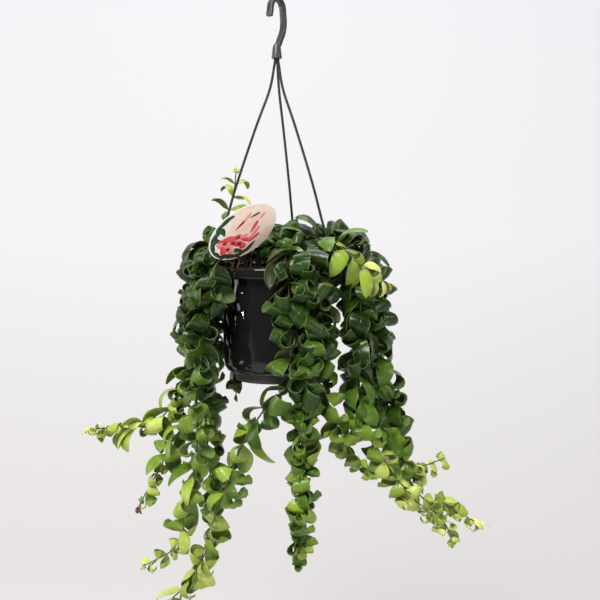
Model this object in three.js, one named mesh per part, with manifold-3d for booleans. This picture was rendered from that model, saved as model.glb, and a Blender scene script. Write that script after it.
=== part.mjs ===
// Potted lipstick plant: curly-leaved trailing stems in a plastic pot that hangs by three strands
// from a hook. Millimetres. +Z is up, +X is to the right of the front view and +Y points to its back.
// The origin is the hook's seat: the middle of the flat under its crook, which sits on a rail.

import * as THREE from "three";
import { mergeVertices } from "three/addons/utils/BufferGeometryUtils.js";
import Module from "manifold-3d";

const wasm = await Module();
wasm.setup();

// Driving dimensions of the pot and its soil
const CLEAR = 0.3;
const SIDES = 20;
const RIM_Z = -340;
const RIM_R = 84;
const SKIRT = 12.5;
const WALL = 2;
const MOUTH_R = 71;
const BODY_R = 72.5;
const BODY_LOW_R = 70;
const BODY_Z = -478;
const FOOT_Z = -489;
const FOOT_R = 54;
const SOIL_EDGE_Z = -346;
const SOIL_TOP_Z = -342;

// Driving dimensions of the hook, its collar and the strands
const HOOK_TURN = 55;
const BAR_THICK = 5.2;
const BAR_WIDE = 8;
const CROOK_R = 13.5;
const CROOK_STEPS = 9;
const COLLAR_TOP_Z = -60;
const COLLAR_Z = -73;
const COLLAR_R = 6.8;
const STRAND_R = 1.7;
const STRAND_AZIMUTHS = { left: 194, right: 330, back: 73 };

// Driving dimensions of the round label
const LABEL_R = 48.5;
const LABEL_THICK = 0.8;
const LABEL_CENTRE = new THREE.Vector3(-41, -71, -295);
const LABEL_ALONG = new THREE.Vector3(0.79, 0, 0.61).normalize();
const LABEL_UP = new THREE.Vector3(-0.314, -0.857, 0.407).normalize();
const SHOWN_LABEL_R = 42;
const STAKE_WIDE = 5;
const STAKE_X = -23.5;
const STAKE_Y = -23;
const STAKE_HOLE_R = 3.4;

// Driving dimensions of the stems and leaves
const STEM_R = 1.35;
const STEM_STEP = 18;
const STEM_BEND = 0.4;
const STEM_FOOT_Z = -362;
const HOLE_R = 2.5;
const HOLE_DEPTH = 20;
const ROLL_FROM = 0.24;
const LEAF_THICK = 1.4;
const LEAF_SLIM = 0.46;
const LEAF_SUNK = 0.2;

const UP = new THREE.Vector3(0, 0, 1);
const turn = (degrees) => (degrees * Math.PI) / 180;
const vector = (p) => new THREE.Vector3(p[0], p[1], p[2]);

// Solids and meshes

function solid(geometry) {
  geometry.deleteAttribute("normal");
  geometry.deleteAttribute("uv");
  const merged = mergeVertices(geometry, 1e-4);
  return new wasm.Manifold(
    new wasm.Mesh({
      numProp: 3,
      vertProperties: merged.attributes.position.array,
      triVerts: new Uint32Array(merged.index.array),
    }),
  );
}

function geometryOf(body) {
  const { vertProperties, triVerts, numProp, numVert } = body.getMesh();
  const points = new Float32Array(numVert * 3);
  for (let i = 0; i < numVert; i++) {
    points.set(vertProperties.subarray(i * numProp, i * numProp + 3), i * 3);
  }
  const geometry = new THREE.BufferGeometry();
  geometry.setAttribute("position", new THREE.BufferAttribute(points, 3));
  geometry.setIndex(new THREE.BufferAttribute(triVerts, 1));
  geometry.computeVertexNormals();
  return geometry;
}

function mesh(name, geometry, color, roughness) {
  const made = new THREE.Mesh(
    geometry,
    new THREE.MeshStandardMaterial({ color, roughness, metalness: 0 }),
  );
  made.name = name;
  return made;
}

function lathe(profile, sides) {
  const points = profile.map(([r, z]) => new THREE.Vector2(r, z));
  return new THREE.LatheGeometry(points, sides).rotateX(Math.PI / 2);
}

function polygon(radius, sides) {
  const shape = new THREE.Shape();
  for (let i = 0; i < sides; i++) {
    const angle = (i / sides) * 2 * Math.PI;
    shape[i ? "lineTo" : "moveTo"](radius * Math.cos(angle), radius * Math.sin(angle));
  }
  return shape;
}

function tube(curve, radius, sides, steps) {
  return new THREE.ExtrudeGeometry(polygon(radius, sides), { steps, extrudePath: curve });
}

// The pot: a straight glossy wall, a turned-over rim with a skirt, and a narrower foot ring

function potMesh() {
  const profile = [
    [0, FOOT_Z + 4],
    [FOOT_R - 7, FOOT_Z + 4],
    [FOOT_R - 5, FOOT_Z],
    [FOOT_R, FOOT_Z],
    [FOOT_R + 1.5, BODY_Z],
    [BODY_LOW_R - 8, BODY_Z + 1],
    [BODY_LOW_R - 2, BODY_Z + 6],
    [BODY_LOW_R, BODY_Z + 15],
    [BODY_R, RIM_Z - WALL],
    [RIM_R - WALL, RIM_Z - WALL],
    [RIM_R - WALL, RIM_Z - SKIRT],
    [RIM_R, RIM_Z - SKIRT],
    [RIM_R, RIM_Z],
    [MOUTH_R, RIM_Z],
    [BODY_LOW_R - WALL, BODY_Z + 15],
    [BODY_LOW_R - 9, BODY_Z + 3],
    [0, BODY_Z + 3],
  ];
  return mesh("pot", lathe(profile, SIDES), 0x0c0c0e, 0.15);
}

// The soil fills the pot, a little lower at the wall, with a plain hole round each stem and the stake

function soilMesh(holes) {
  const profile = [
    [0, BODY_Z + 3 + CLEAR],
    [BODY_LOW_R - 9.5, BODY_Z + 3 + CLEAR],
    [BODY_LOW_R - WALL - CLEAR, BODY_Z + 15],
    [MOUTH_R - CLEAR - 0.2, SOIL_EDGE_Z],
    [MOUTH_R - 25, SOIL_TOP_Z],
    [0, SOIL_TOP_Z],
  ];
  const cuts = holes.map(([x, y, radius, sides]) =>
    solid(
      new THREE.CylinderGeometry(radius, radius, 2 * HOLE_DEPTH, sides)
        .rotateX(Math.PI / 2)
        .translate(x, y, SOIL_TOP_Z),
    ),
  );
  const filled = solid(lathe(profile, SIDES)).subtract(wasm.Manifold.union(cuts));
  return mesh("soil", geometryOf(filled), 0x2a1c14, 0.95);
}

// The hook: a flat bar whose centre line is given in its own plane, p towards the tip and z up

function hookSpine() {
  const flat = Math.cos(Math.PI / (2 * CROOK_STEPS));
  const centreZ = -(CROOK_R - BAR_THICK / 2) * flat;
  const shank = new THREE.SplineCurve([
    new THREE.Vector2(0, COLLAR_TOP_Z - 6),
    new THREE.Vector2(-0.5, COLLAR_TOP_Z),
    new THREE.Vector2(-6, -50),
    new THREE.Vector2(-12.6, -38),
    new THREE.Vector2(-15, -26),
    new THREE.Vector2(-CROOK_R, centreZ),
  ]);
  const spine = shank.getPoints(10).slice(0, -1);
  for (let i = 0; i <= CROOK_STEPS; i++) {
    const angle = Math.PI * (1 - i / CROOK_STEPS);
    spine.push(
      new THREE.Vector2(CROOK_R * Math.cos(angle), centreZ + CROOK_R * Math.sin(angle)),
    );
  }
  spine.push(new THREE.Vector2(14.6, -16), new THREE.Vector2(16, -21));
  return spine;
}

function hookMesh() {
  const spine = hookSpine();
  const side = (way) =>
    spine.map((point, i) => {
      const before = spine[Math.max(i - 1, 0)];
      const after = spine[Math.min(i + 1, spine.length - 1)];
      const along = after.clone().sub(before).normalize();
      const offset = (way * BAR_THICK) / 2;
      return new THREE.Vector2(point.x - along.y * offset, point.y + along.x * offset);
    });
  const outline = new THREE.Shape([...side(-1), ...side(1).reverse()]);
  const bar = solid(
    new THREE.ExtrudeGeometry(outline, { depth: BAR_WIDE, bevelEnabled: false })
      .translate(0, 0, -BAR_WIDE / 2)
      .rotateX(Math.PI / 2)
      .rotateZ(turn(180 + HOOK_TURN)),
  );
  const collar = solid(
    lathe(
      [
        [0, COLLAR_Z],
        [COLLAR_R, COLLAR_Z],
        [COLLAR_R - 0.2, COLLAR_Z + 3],
        [5, COLLAR_TOP_Z + 3],
        [4, COLLAR_TOP_Z + 5],
        [0, COLLAR_TOP_Z + 5],
      ],
      12,
    ),
  );
  const recess = solid(
    new THREE.CylinderGeometry(4.4, 4.4, 12, 12).rotateX(Math.PI / 2).translate(0, 0, COLLAR_Z),
  );
  return mesh("hanger_hook", geometryOf(bar.add(collar).subtract(recess)), 0x2b2b2e, 0.35);
}

// A strand leaves the collar's recess, spreads to the rim, runs down its skirt and turns in under it

function strandMesh(name, azimuth) {
  const reach = RIM_R + STRAND_R + 0.6;
  const under = RIM_Z - SKIRT - STRAND_R - 0.5;
  const stations = [
    [2.25, COLLAR_Z + 5],
    [2.25, COLLAR_Z - 2],
    [3.6, -84],
    [9.8, -114],
    [28, -162],
    [53, -234],
    [68, -284],
    [reach, RIM_Z + 3],
    [reach, RIM_Z - 6],
    [reach, under],
  ];
  const curve = new THREE.CatmullRomCurve3(stations.map(([r, z]) => new THREE.Vector3(r, 0, z)));
  const foot = new THREE.CylinderGeometry(STRAND_R, STRAND_R, 8, 6)
    .rotateZ(Math.PI / 2)
    .translate(reach - 2.5, 0, under);
  const strand = solid(tube(curve, STRAND_R, 6, 14)).add(solid(foot));
  const made = mesh(`hanger_strand_${name}`, geometryOf(strand), 0x17171a, 0.4);
  made.rotation.z = turn(azimuth);
  return made;
}

// The label: a thin round tag whose stake bends down into the soil

function labelMesh() {
  const face = new THREE.Vector3().crossVectors(LABEL_ALONG, LABEL_UP);
  const pose = new THREE.Matrix4().makeBasis(LABEL_ALONG, LABEL_UP, face);
  pose.setPosition(LABEL_CENTRE);
  const disc = solid(
    new THREE.CylinderGeometry(LABEL_R, LABEL_R, LABEL_THICK, 24)
      .rotateX(Math.PI / 2)
      .applyMatrix4(pose),
  );
  const at = (up) => LABEL_CENTRE.clone().addScaledVector(LABEL_UP, up);
  const bend = new THREE.CatmullRomCurve3([
    at(-LABEL_R + 9),
    at(-LABEL_R + 1),
    new THREE.Vector3(STAKE_X - 1, STAKE_Y - 1.5, -321),
    new THREE.Vector3(STAKE_X, STAKE_Y, -335),
    new THREE.Vector3(STAKE_X, STAKE_Y, SOIL_TOP_Z),
    new THREE.Vector3(STAKE_X, STAKE_Y, STEM_FOOT_Z + 2),
  ]);
  const strip = new THREE.BoxGeometry(STAKE_WIDE, LABEL_THICK, 1, 1, 1, 10);
  const place = strip.attributes.position;
  for (let i = 0; i < place.count; i++) {
    const t = place.getZ(i) + 0.5;
    const along = bend.getTangentAt(t);
    const wide = LABEL_ALONG.clone().lerp(new THREE.Vector3(1, 0, 0), Math.min(1, 2 * t));
    wide.addScaledVector(along, -wide.dot(along)).normalize();
    const thick = new THREE.Vector3().crossVectors(along, wide);
    const point = bend
      .getPointAt(t)
      .addScaledVector(wide, place.getX(i) * (t > 0.8 ? 0.6 : 1))
      .addScaledVector(thick, place.getY(i));
    place.setXYZ(i, point.x, point.y, point.z);
  }
  return mesh("plant_label", geometryOf(disc.add(solid(strip))), 0xf6e2d4, 0.35);
}

// The stems. Each has its route from just above the soil, the length of a full leaf, the size of its
// last leaves against that, the spacing of its pairs, and how open its leaves are.
// The routes are read off the plant, and those at the back and inside follow the same habit.

const STEMS = [
  {
    name: "stem_lime_shoot", leaf: 54, tip: 0.35, gap: 17, bare: 34, open: 0.85,
    route: [[30, -18, -330], [54, -44, -308], [80, -74, -314], [104, -89, -333], [124, -92, -350],
      [138, -93, -357]],
  },
  {
    name: "stem_front_long", leaf: 54, tip: 0.72, gap: 15, bare: 20, open: 0.05,
    route: [[27, -50, -330], [32, -92, -322], [38, -106, -377], [39, -107, -432], [37, -104, -482],
      [32, -101, -526], [32, -98, -576], [30, -96, -640], [28, -94, -680], [28, -92, -704]],
  },
  {
    name: "stem_front_left", leaf: 60, tip: 0.5, gap: 19, bare: 12, open: 0.2,
    route: [[6, -52, -330], [12, -92, -325], [17, -105, -377], [19, -103, -433], [16, -99, -483],
      [-8, -96, -506], [-30, -92, -538], [-48, -86, -573], [-60, -82, -608], [-74, -78, -643],
      [-84, -74, -672]],
  },
  {
    name: "stem_front_right", leaf: 54, tip: 0.6, gap: 15, bare: 12, open: 0.05,
    route: [[38, -42, -330], [50, -82, -322], [55, -94, -378], [54, -90, -434], [59, -87, -485],
      [70, -86, -519], [84, -82, -552], [97, -80, -574], [112, -78, -594]],
  },
  {
    name: "stem_left_outer", leaf: 50, tip: 0.5, gap: 15, bare: 12, open: 0.3,
    route: [[-58, -6, -330], [-86, -16, -316], [-99, -22, -342], [-103, -26, -386], [-105, -30, -441],
      [-117, -34, -485], [-135, -36, -518], [-157, -38, -540], [-189, -36, -548], [-222, -33, -549],
      [-242, -30, -551]],
  },
  {
    name: "stem_left_front", leaf: 52, tip: 0.5, gap: 16, bare: 12, open: 0.15,
    route: [[-50, -26, -330], [-84, -42, -318], [-96, -50, -352], [-97, -56, -406], [-98, -60, -463],
      [-102, -62, -508], [-113, -64, -533], [-132, -63, -561], [-148, -61, -595], [-162, -59, -619],
      [-176, -57, -645]],
  },
  {
    name: "stem_left_inner", leaf: 52, tip: 0.5, gap: 16, bare: 12, open: 0.1,
    route: [[-40, -42, -330], [-68, -64, -328], [-88, -70, -368], [-91, -73, -424], [-95, -77, -470],
      [-99, -82, -506], [-98, -82, -557], [-106, -80, -606], [-118, -76, -641], [-118, -73, -674],
      [-134, -70, -700], [-166, -64, -719]],
  },
  {
    name: "stem_left_long", leaf: 52, tip: 0.8, gap: 17, bare: 12, open: 0.2,
    route: [[-44, 8, -330], [-82, 12, -312], [-99, 14, -340], [-103, 12, -388], [-102, 8, -445],
      [-97, 0, -498], [-93, -10, -557], [-89, -16, -603], [-84, -18, -656], [-89, -18, -703],
      [-106, -18, -739], [-124, -18, -765], [-145, -18, -786], [-160, -18, -806]],
  },
  {
    name: "stem_right_front", leaf: 54, tip: 0.45, gap: 16, bare: 12, open: 0.1,
    route: [[52, -4, -330], [88, -32, -314], [104, -50, -345], [106, -64, -380], [105, -67, -417],
      [103, -65, -469], [103, -62, -514], [114, -60, -549], [135, -56, -582], [155, -54, -612],
      [182, -50, -643], [208, -48, -659], [228, -46, -690]],
  },
  {
    name: "stem_right_outer", leaf: 54, tip: 0.45, gap: 16, bare: 12, open: 0.1,
    route: [[58, 10, -330], [96, -4, -310], [120, -14, -342], [130, -20, -390], [133, -22, -442],
      [143, -20, -488], [154, -20, -528], [161, -20, -574], [169, -20, -610], [193, -20, -646],
      [227, -20, -655], [261, -20, -678]],
  },
  {
    name: "stem_right_back", leaf: 54, tip: 0.5, gap: 17, bare: 20, open: 0.15,
    route: [[48, 26, -330], [88, 30, -310], [117, 34, -340], [127, 38, -402], [125, 36, -462],
      [132, 32, -516], [146, 28, -563], [167, 24, -598], [191, 22, -611], [220, 20, -602]],
  },
  {
    name: "stem_right_middle", leaf: 54, tip: 0.6, gap: 16, bare: 12, open: 0.05,
    route: [[60, -24, -330], [96, -20, -318], [116, -40, -350], [118, -46, -400], [114, -44, -455],
      [108, -40, -505], [98, -36, -545], [92, -34, -575]],
  },
  {
    name: "stem_upright", leaf: 44, tip: 0.5, gap: 18, bare: 40, open: 1,
    route: [[-60, 26, -330], [-67, 20, -303], [-65, 16, -273], [-57, 12, -246], [-54, 10, -220]],
  },
  {
    name: "stem_crown_front", leaf: 48, tip: 0.75, gap: 13, bare: 16, open: 0.2,
    route: [[12, -26, -330], [14, -40, -310], [18, -60, -306], [20, -78, -312]],
  },
  {
    name: "stem_crown_right", leaf: 48, tip: 0.75, gap: 13, bare: 16, open: 0.2,
    route: [[26, 2, -330], [42, -4, -310], [60, -10, -306], [78, -14, -311]],
  },
  {
    name: "stem_crown_middle", leaf: 48, tip: 0.75, gap: 13, bare: 16, open: 0.2,
    route: [[2, -4, -330], [4, -2, -314], [10, -8, -304], [18, -18, -300]],
  },
  {
    name: "stem_crown_back", leaf: 48, tip: 0.75, gap: 13, bare: 16, open: 0.2,
    route: [[-6, 18, -330], [-8, 34, -312], [-8, 54, -309], [-10, 74, -316]],
  },
  {
    name: "stem_crown_left", leaf: 48, tip: 0.75, gap: 13, bare: 16, open: 0.2,
    route: [[-22, 4, -330], [-34, 16, -312], [-40, 34, -307], [-44, 54, -312]],
  },
  {
    name: "stem_crown_right_back", leaf: 48, tip: 0.75, gap: 13, bare: 16, open: 0.2,
    route: [[36, 16, -330], [52, 26, -311], [68, 34, -307], [82, 38, -312]],
  },
  {
    name: "stem_crown_far", leaf: 48, tip: 0.75, gap: 13, bare: 16, open: 0.2,
    route: [[16, 28, -330], [34, 44, -311], [46, 58, -307], [58, 70, -313]],
  },
  {
    name: "stem_crown_side", leaf: 48, tip: 0.75, gap: 13, bare: 16, open: 0.2,
    route: [[-34, -12, -330], [-50, 4, -306], [-64, 14, -298], [-78, 20, -302]],
  },
  {
    name: "stem_left_short", leaf: 52, tip: 0.6, gap: 16, bare: 12, open: 0.1,
    route: [[-40, 28, -330], [-80, 38, -312], [-102, 42, -345], [-110, 42, -400], [-106, 40, -455],
      [-110, 38, -502]],
  },
  {
    name: "stem_back_right", leaf: 54, tip: 0.6, gap: 17, bare: 12, open: 0.1,
    route: [[38, 40, -330], [78, 64, -316], [102, 78, -350], [110, 80, -410], [110, 77, -470],
      [115, 74, -530], [123, 70, -575]],
  },
  {
    name: "stem_back_middle", leaf: 54, tip: 0.6, gap: 17, bare: 12, open: 0.1,
    route: [[22, 50, -330], [40, 84, -318], [44, 98, -352], [44, 100, -420], [42, 98, -480],
      [46, 96, -545]],
  },
  {
    name: "stem_back_long", leaf: 54, tip: 0.6, gap: 17, bare: 12, open: 0.1,
    route: [[6, 54, -330], [-4, 94, -318], [-8, 106, -352], [-10, 106, -405], [-8, 104, -455],
      [-10, 103, -500]],
  },
  {
    name: "stem_back_short", leaf: 54, tip: 0.6, gap: 17, bare: 12, open: 0.1,
    route: [[-18, 52, -330], [-46, 82, -316], [-56, 94, -350], [-58, 94, -410], [-54, 92, -470],
      [-60, 92, -525]],
  },
  {
    name: "stem_back_left", leaf: 54, tip: 0.6, gap: 17, bare: 12, open: 0.1,
    route: [[-38, 46, -330], [-72, 62, -314], [-86, 72, -345], [-94, 76, -400], [-92, 72, -460],
      [-98, 72, -520], [-106, 70, -580], [-112, 68, -640]],
  },
];

// The ways a leaf rolls, in degrees: over its length, askew in its own plane, and its cross arch.

const ROLLS = [
  { curl: 235, skew: 10, arch: 0.14 },
  { curl: 270, skew: -20, arch: 0.12 },
  { curl: 250, skew: 18, arch: 0.16 },
  { curl: 300, skew: 24, arch: 0.1 },
  { curl: 215, skew: -12, arch: 0.18 },
  { curl: 280, skew: -26, arch: 0.12 },
  { curl: 130, skew: 10, arch: 0.2 },
  { curl: 80, skew: -8, arch: 0.2 },
];
const TIGHT_ROLLS = 6;

// How the leaves stand on a stem. Pairs cross at right angles with a slow drift, and each leaf is off by
// up to half its spread in its place round the stem, and leans towards the tip more near the stem's end.
const PAIR_TURN = 99;
const TURN_SPREAD = 24;
const LEAN = 15;
const LEAN_SPREAD = 30;
const LEAN_AT_TIP = 25;
const TWIST_SPREAD = 70;
const SIZE_LEAST = 0.86;
const SIZE_SPREAD = 0.28;
const FULL_SIZE_TO = 0.3;
const GAP_LEAST = 0.45;
const SAMPLES = 16;

// What a leaf tries in order until it has room: a turn about its stem and a twist, in degrees, and a size
const TRIES = [
  [0, 0, 1], [0, 35, 1], [0, -35, 1], [25, 0, 1], [-25, 0, 1], [25, 50, 1], [-25, -50, 1],
  [0, 0, 0.84], [45, 30, 0.84], [-45, -30, 0.84], [0, 60, 0.84], [0, -60, 0.84],
  [0, 0, 0.7], [60, 0, 0.7], [-60, 0, 0.7],
];

// The room a leaf keeps to other stems' leaves, its own stem's, other stems and its own stem, and the
// rows of points it is felt at: how far along, and how many across. The tenth is its middle.
const ROOM = 4.6;
const OWN_ROOM = 2.6;
const STEM_ROOM = 4.8;
const OWN_STEM_ROOM = 3.6;
const SHOWN_ROOM = 7.2;
const PROBES = [[0.25, 4], [0.37, 4], [0.5, 4], [0.62, 4], [0.75, 4], [0.88, 4], [1, 1]];
const MIDDLE_PROBE = 9;
const FOOT_PROBES = 4;
const LEAF_REACH = 70;
const BARK_REACH = 40;

// A seeded draw of numbers between 0 and 1
function drawer(seed) {
  let state = seed;
  return () => {
    state = (state * 16807) % 2147483647;
    return state / 2147483647;
  };
}

// The stem's centre line: smooth through its route, and upright where it stands in the soil
function centreLine(stem) {
  const [x, y] = stem.route[0];
  const points = [[x, y, STEM_FOOT_Z], [x, y, SOIL_TOP_Z], ...stem.route].map(vector);
  return new THREE.CatmullRomCurve3(points, false, "catmullrom", 0.5);
}

// Even stations along a stem, each with its place, direction and two cross directions carried along
function stationsOf(stem) {
  const curve = centreLine(stem);
  const spans = curve.points.length - 1;
  const stations = [];
  let length = 0;
  let across = new THREE.Vector3(1, 0, 0);
  for (let i = 0; i <= spans * SAMPLES; i++) {
    const place = curve.getPoint(i / (spans * SAMPLES));
    const last = stations.at(-1);
    if (last) {
      length += place.distanceTo(last.place);
    }
    const ahead = curve.getPoint(Math.min(1, (i + 1) / (spans * SAMPLES)));
    const behind = curve.getPoint(Math.max(0, (i - 1) / (spans * SAMPLES)));
    const along = ahead.sub(behind).normalize();
    across = across.clone().addScaledVector(along, -across.dot(along)).normalize();
    const over = new THREE.Vector3().crossVectors(along, across);
    stations.push({ place, along, across, over, length });
  }
  return stations;
}

function stationAt(stations, length) {
  const i = stations.findIndex((station) => station.length >= length);
  const [a, b] = [stations[i - 1], stations[i]];
  const t = (length - a.length) / (b.length - a.length);
  const { along, across, over } = b;
  return { place: a.place.clone().lerp(b.place, t), along, across, over };
}

// A point of a leaf: s runs from its foot to its tip, side from edge to edge, lift off its face
function halfWidth(leaf, s) {
  const swell = Math.max(0, (s - 0.06) / 0.94);
  return Math.max(0.8, (leaf.width / 2) * 2.05 * swell ** 0.45 * (1 - swell) ** 0.6);
}

function leafPoint(leaf, s, side, lift) {
  const half = halfWidth(leaf, s);
  const x = leaf.length * s;
  const y = s < 1 ? half * side : 0;
  const skew = turn(leaf.roll.skew);
  const bent = x * Math.cos(skew) + y * Math.sin(skew);
  const level = y * Math.cos(skew) - x * Math.sin(skew);
  const raised = lift - leaf.roll.arch * half * side * side;
  const start = ROLL_FROM * leaf.length;
  const radius = (leaf.length - start) / turn(leaf.roll.curl);
  const angle = Math.max(0, bent - start) / radius;
  const forward = Math.min(bent, start) + (radius + raised) * Math.sin(angle);
  const rise = (radius + raised) * Math.cos(angle) - radius;
  const out = Math.cos(skew) * forward - Math.sin(skew) * level;
  const aside = Math.sin(skew) * forward + Math.cos(skew) * level;
  return leaf.foot
    .clone()
    .addScaledVector(leaf.out, out)
    .addScaledVector(leaf.aside, aside)
    .addScaledVector(leaf.face, rise);
}

function probesOf(leaf) {
  return PROBES.flatMap(([s, count]) =>
    Array.from({ length: count }, (_, i) =>
      leafPoint(leaf, s, count > 1 ? (2 * i) / (count - 1) - 1 : 0, 0),
    ),
  );
}

// Whether a point is clear of the pot and its rim, of the strands, and of the label and its stake

function clearOfPot(point) {
  const within = (radius, low, high) =>
    Math.hypot(point.x, point.y) < radius + 2.5 && point.z > low - 2 && point.z < high + 2.5;
  if (within(RIM_R, RIM_Z - SKIRT, RIM_Z) || within(BODY_R, FOOT_Z, RIM_Z)) {
    return false;
  }
  return clearOfStrands(point) && clearOfLabel(point);
}

function clearOfStrands(point) {
  const down = Math.min(1, Math.max(0, (COLLAR_Z - point.z) / (COLLAR_Z - RIM_Z)));
  const reach = down * (RIM_R + STRAND_R) - 4 * Math.sin(Math.PI * down);
  return Object.values(STRAND_AZIMUTHS).every((azimuth) => {
    const x = point.x - reach * Math.cos(turn(azimuth));
    const y = point.y - reach * Math.sin(turn(azimuth));
    return point.z <= RIM_Z - SKIRT - 8 || Math.hypot(x, y) >= 5;
  });
}

function clearOfLabel(point) {
  const off = point.clone().sub(LABEL_CENTRE);
  const face = new THREE.Vector3().crossVectors(LABEL_ALONG, LABEL_UP);
  const height = off.dot(face);
  const flat = off.addScaledVector(face, -height);
  if (Math.abs(height) < 3 && flat.length() < LABEL_R + 3) {
    return false;
  }
  const before = point.clone().sub(LABEL_CENTRE);
  if (Math.hypot(before.x, before.z) < SHOWN_LABEL_R && before.y < 40) {
    return false;
  }
  return Math.hypot(point.x - STAKE_X, point.y - STAKE_Y) > 6 || point.z > -314;
}

// A leaf in its place: foot, the way it grows out, the way its face looks, its size and its roll

function poseLeaf(stem, station, wish, aside, twisted, share) {
  const { lean, roll } = wish;
  const angle = wish.angle + aside;
  const length = wish.length * share;
  const round = station.across
    .clone()
    .multiplyScalar(Math.cos(angle))
    .addScaledVector(station.over, Math.sin(angle));
  const out = round.multiplyScalar(Math.cos(lean)).addScaledVector(station.along, Math.sin(lean));
  const face = UP.clone().addScaledVector(station.along, 0.4);
  face.addScaledVector(out, -face.dot(out)).normalize().applyAxisAngle(out, wish.twist + twisted);
  return {
    foot: station.place.clone(),
    out,
    face,
    aside: new THREE.Vector3().crossVectors(face, out),
    length,
    width: length * LEAF_SLIM,
    roll,
  };
}

// Every leaf of every stem, in opposite pairs that cross each other, each placed where it has room

function placeLeaves(stems) {
  const lines = stems.map(stationsOf);
  const bark = lines.flatMap((stations, owner) =>
    stations.filter((_, i) => i % 2 === 0).map(({ place }) => ({ place, owner })),
  );
  const placed = [];
  stems.forEach((stem, owner) => {
    const draw = drawer(1000 + 37 * owner);
    const total = lines[owner].at(-1).length;
    const first = stem.bare + SOIL_TOP_Z - STEM_FOOT_Z;
    let length = first;
    for (let pair = 0; length < total - 1; pair++) {
      const age = (length - first) / (total - first);
      const shrunk = Math.max(0, (age - FULL_SIZE_TO) / (1 - FULL_SIZE_TO)) ** 3;
      const size = 1 + (stem.tip - 1) * shrunk;
      const station = stationAt(lines[owner], length);
      for (const way of [0, 1]) {
        const wish = wishedLeaf(stem, draw, pair, way, age, size);
        for (const [aside, twisted, share] of TRIES) {
          const leaf = poseLeaf(stem, station, wish, turn(aside), turn(twisted), share);
          const probes = probesOf(leaf);
          if (hasRoom(probes, owner, placed, bark)) {
            const centre = probes[MIDDLE_PROBE];
            placed.push({ ...leaf, probes, centre, owner, pair, way, station: length });
            break;
          }
        }
      }
      length += stem.gap * (GAP_LEAST + (1 - GAP_LEAST) * size);
    }
  });
  return placed;
}

// What the draws wish for one leaf, before its room is known
function wishedLeaf(stem, draw, pair, way, age, size) {
  const [turned, leaned, twisted, sized, rolled, opened] = Array.from({ length: 6 }, draw);
  const open = opened < stem.open;
  const kinds = open ? ROLLS.slice(TIGHT_ROLLS) : ROLLS.slice(0, TIGHT_ROLLS);
  return {
    angle: turn(PAIR_TURN * pair + 180 * way + TURN_SPREAD * (turned - 0.5)),
    lean: turn(LEAN + LEAN_SPREAD * leaned + LEAN_AT_TIP * age ** 4),
    twist: turn(TWIST_SPREAD * (twisted - 0.5)),
    length: stem.leaf * size * (SIZE_LEAST + SIZE_SPREAD * sized),
    roll: kinds[Math.floor(rolled * kinds.length)],
  };
}

function hasRoom(probes, owner, placed, bark) {
  if (!probes.every(clearOfPot)) {
    return false;
  }
  const middle = probes[MIDDLE_PROBE];
  for (const { place, owner: other } of bark) {
    if (place.distanceTo(middle) < BARK_REACH) {
      const [room, from] = other === owner ? [OWN_STEM_ROOM, FOOT_PROBES] : [STEM_ROOM, 0];
      if (probes.some((probe, i) => i >= from && probe.distanceTo(place) < room)) {
        return false;
      }
    }
  }
  return placed.every((leaf) => {
    const room = leaf.owner === owner ? OWN_ROOM : ROOM;
    return leaf.centre.distanceTo(middle) >= LEAF_REACH || keepsOff(leaf.probes, probes, room);
  });
}

function keepsOff(some, others, room) {
  return some.every((near) => others.every((probe) => near.distanceTo(probe) >= room));
}

// Where an edge of a leaf meets the straight line that its roll bends about at that place of its middle
function edgeAt(leaf, middle, side) {
  const skew = turn(leaf.roll.skew);
  let [low, high] = [0, 1];
  for (let halving = 0; halving < 20; halving++) {
    const s = (low + high) / 2;
    const behind =
      leaf.length * (s - middle) * Math.cos(skew) + side * halfWidth(leaf, s) * Math.sin(skew) < 0;
    [low, high] = behind ? [s, high] : [low, s];
  }
  return low;
}

// A leaf's solid: a closed ball of three columns drawn out into the blade: its two edges and the ridge
// between them, in rings that lie straight across the roll. Its foot lies inside the stem.

function leafSolid(leaf) {
  const large = leaf.length > 34 && leaf.roll.curl > 170;
  const stops = large ? [0.24, 0.43, 0.62, 0.81] : [0.26, 0.52, 0.78];
  const rings = stops.length + 1;
  const ball = new THREE.SphereGeometry(1, 3, rings);
  const place = ball.attributes.position;
  for (let i = 0; i < place.count; i++) {
    const ring = Math.round((Math.acos(place.getY(i)) / Math.PI) * rings);
    const middle = [-LEAF_SUNK / leaf.length, ...stops, 1][ring];
    const round = Math.atan2(place.getZ(i), -place.getX(i)) / (2 * Math.PI);
    const side = ring > 0 && ring < rings ? Math.round(3 * round) : 0;
    const edges = [-1, 1].map((way) => edgeAt(leaf, middle, way));
    const drop = (leaf.roll.arch * (halfWidth(leaf, edges[0]) + halfWidth(leaf, edges[1]))) / 2;
    const ridge = ring > 0 && ring < rings && side === 0;
    const s = side === 0 ? middle : edges[(side + 1) / 2];
    const point = leafPoint(leaf, s, side, ridge ? LEAF_THICK - drop : 0);
    place.setXYZ(i, point.x, point.y, point.z);
  }
  return solid(ball);
}

// Of each pair, the one leaf that stays here: the first that keeps clear of those already kept
function shownLeaves(own) {
  const kept = [];
  for (const pair of new Set(own.map((leaf) => leaf.pair))) {
    const both = own.filter((leaf) => leaf.pair === pair);
    both.sort((a, b) => Math.abs(a.way - (pair % 2)) - Math.abs(b.way - (pair % 2)));
    const free = both.find((leaf) =>
      kept.every(({ probes }) => keepsOff(probes, leaf.probes, SHOWN_ROOM)),
    );
    if (free) {
      kept.push(free);
    }
  }
  return kept;
}

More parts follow.
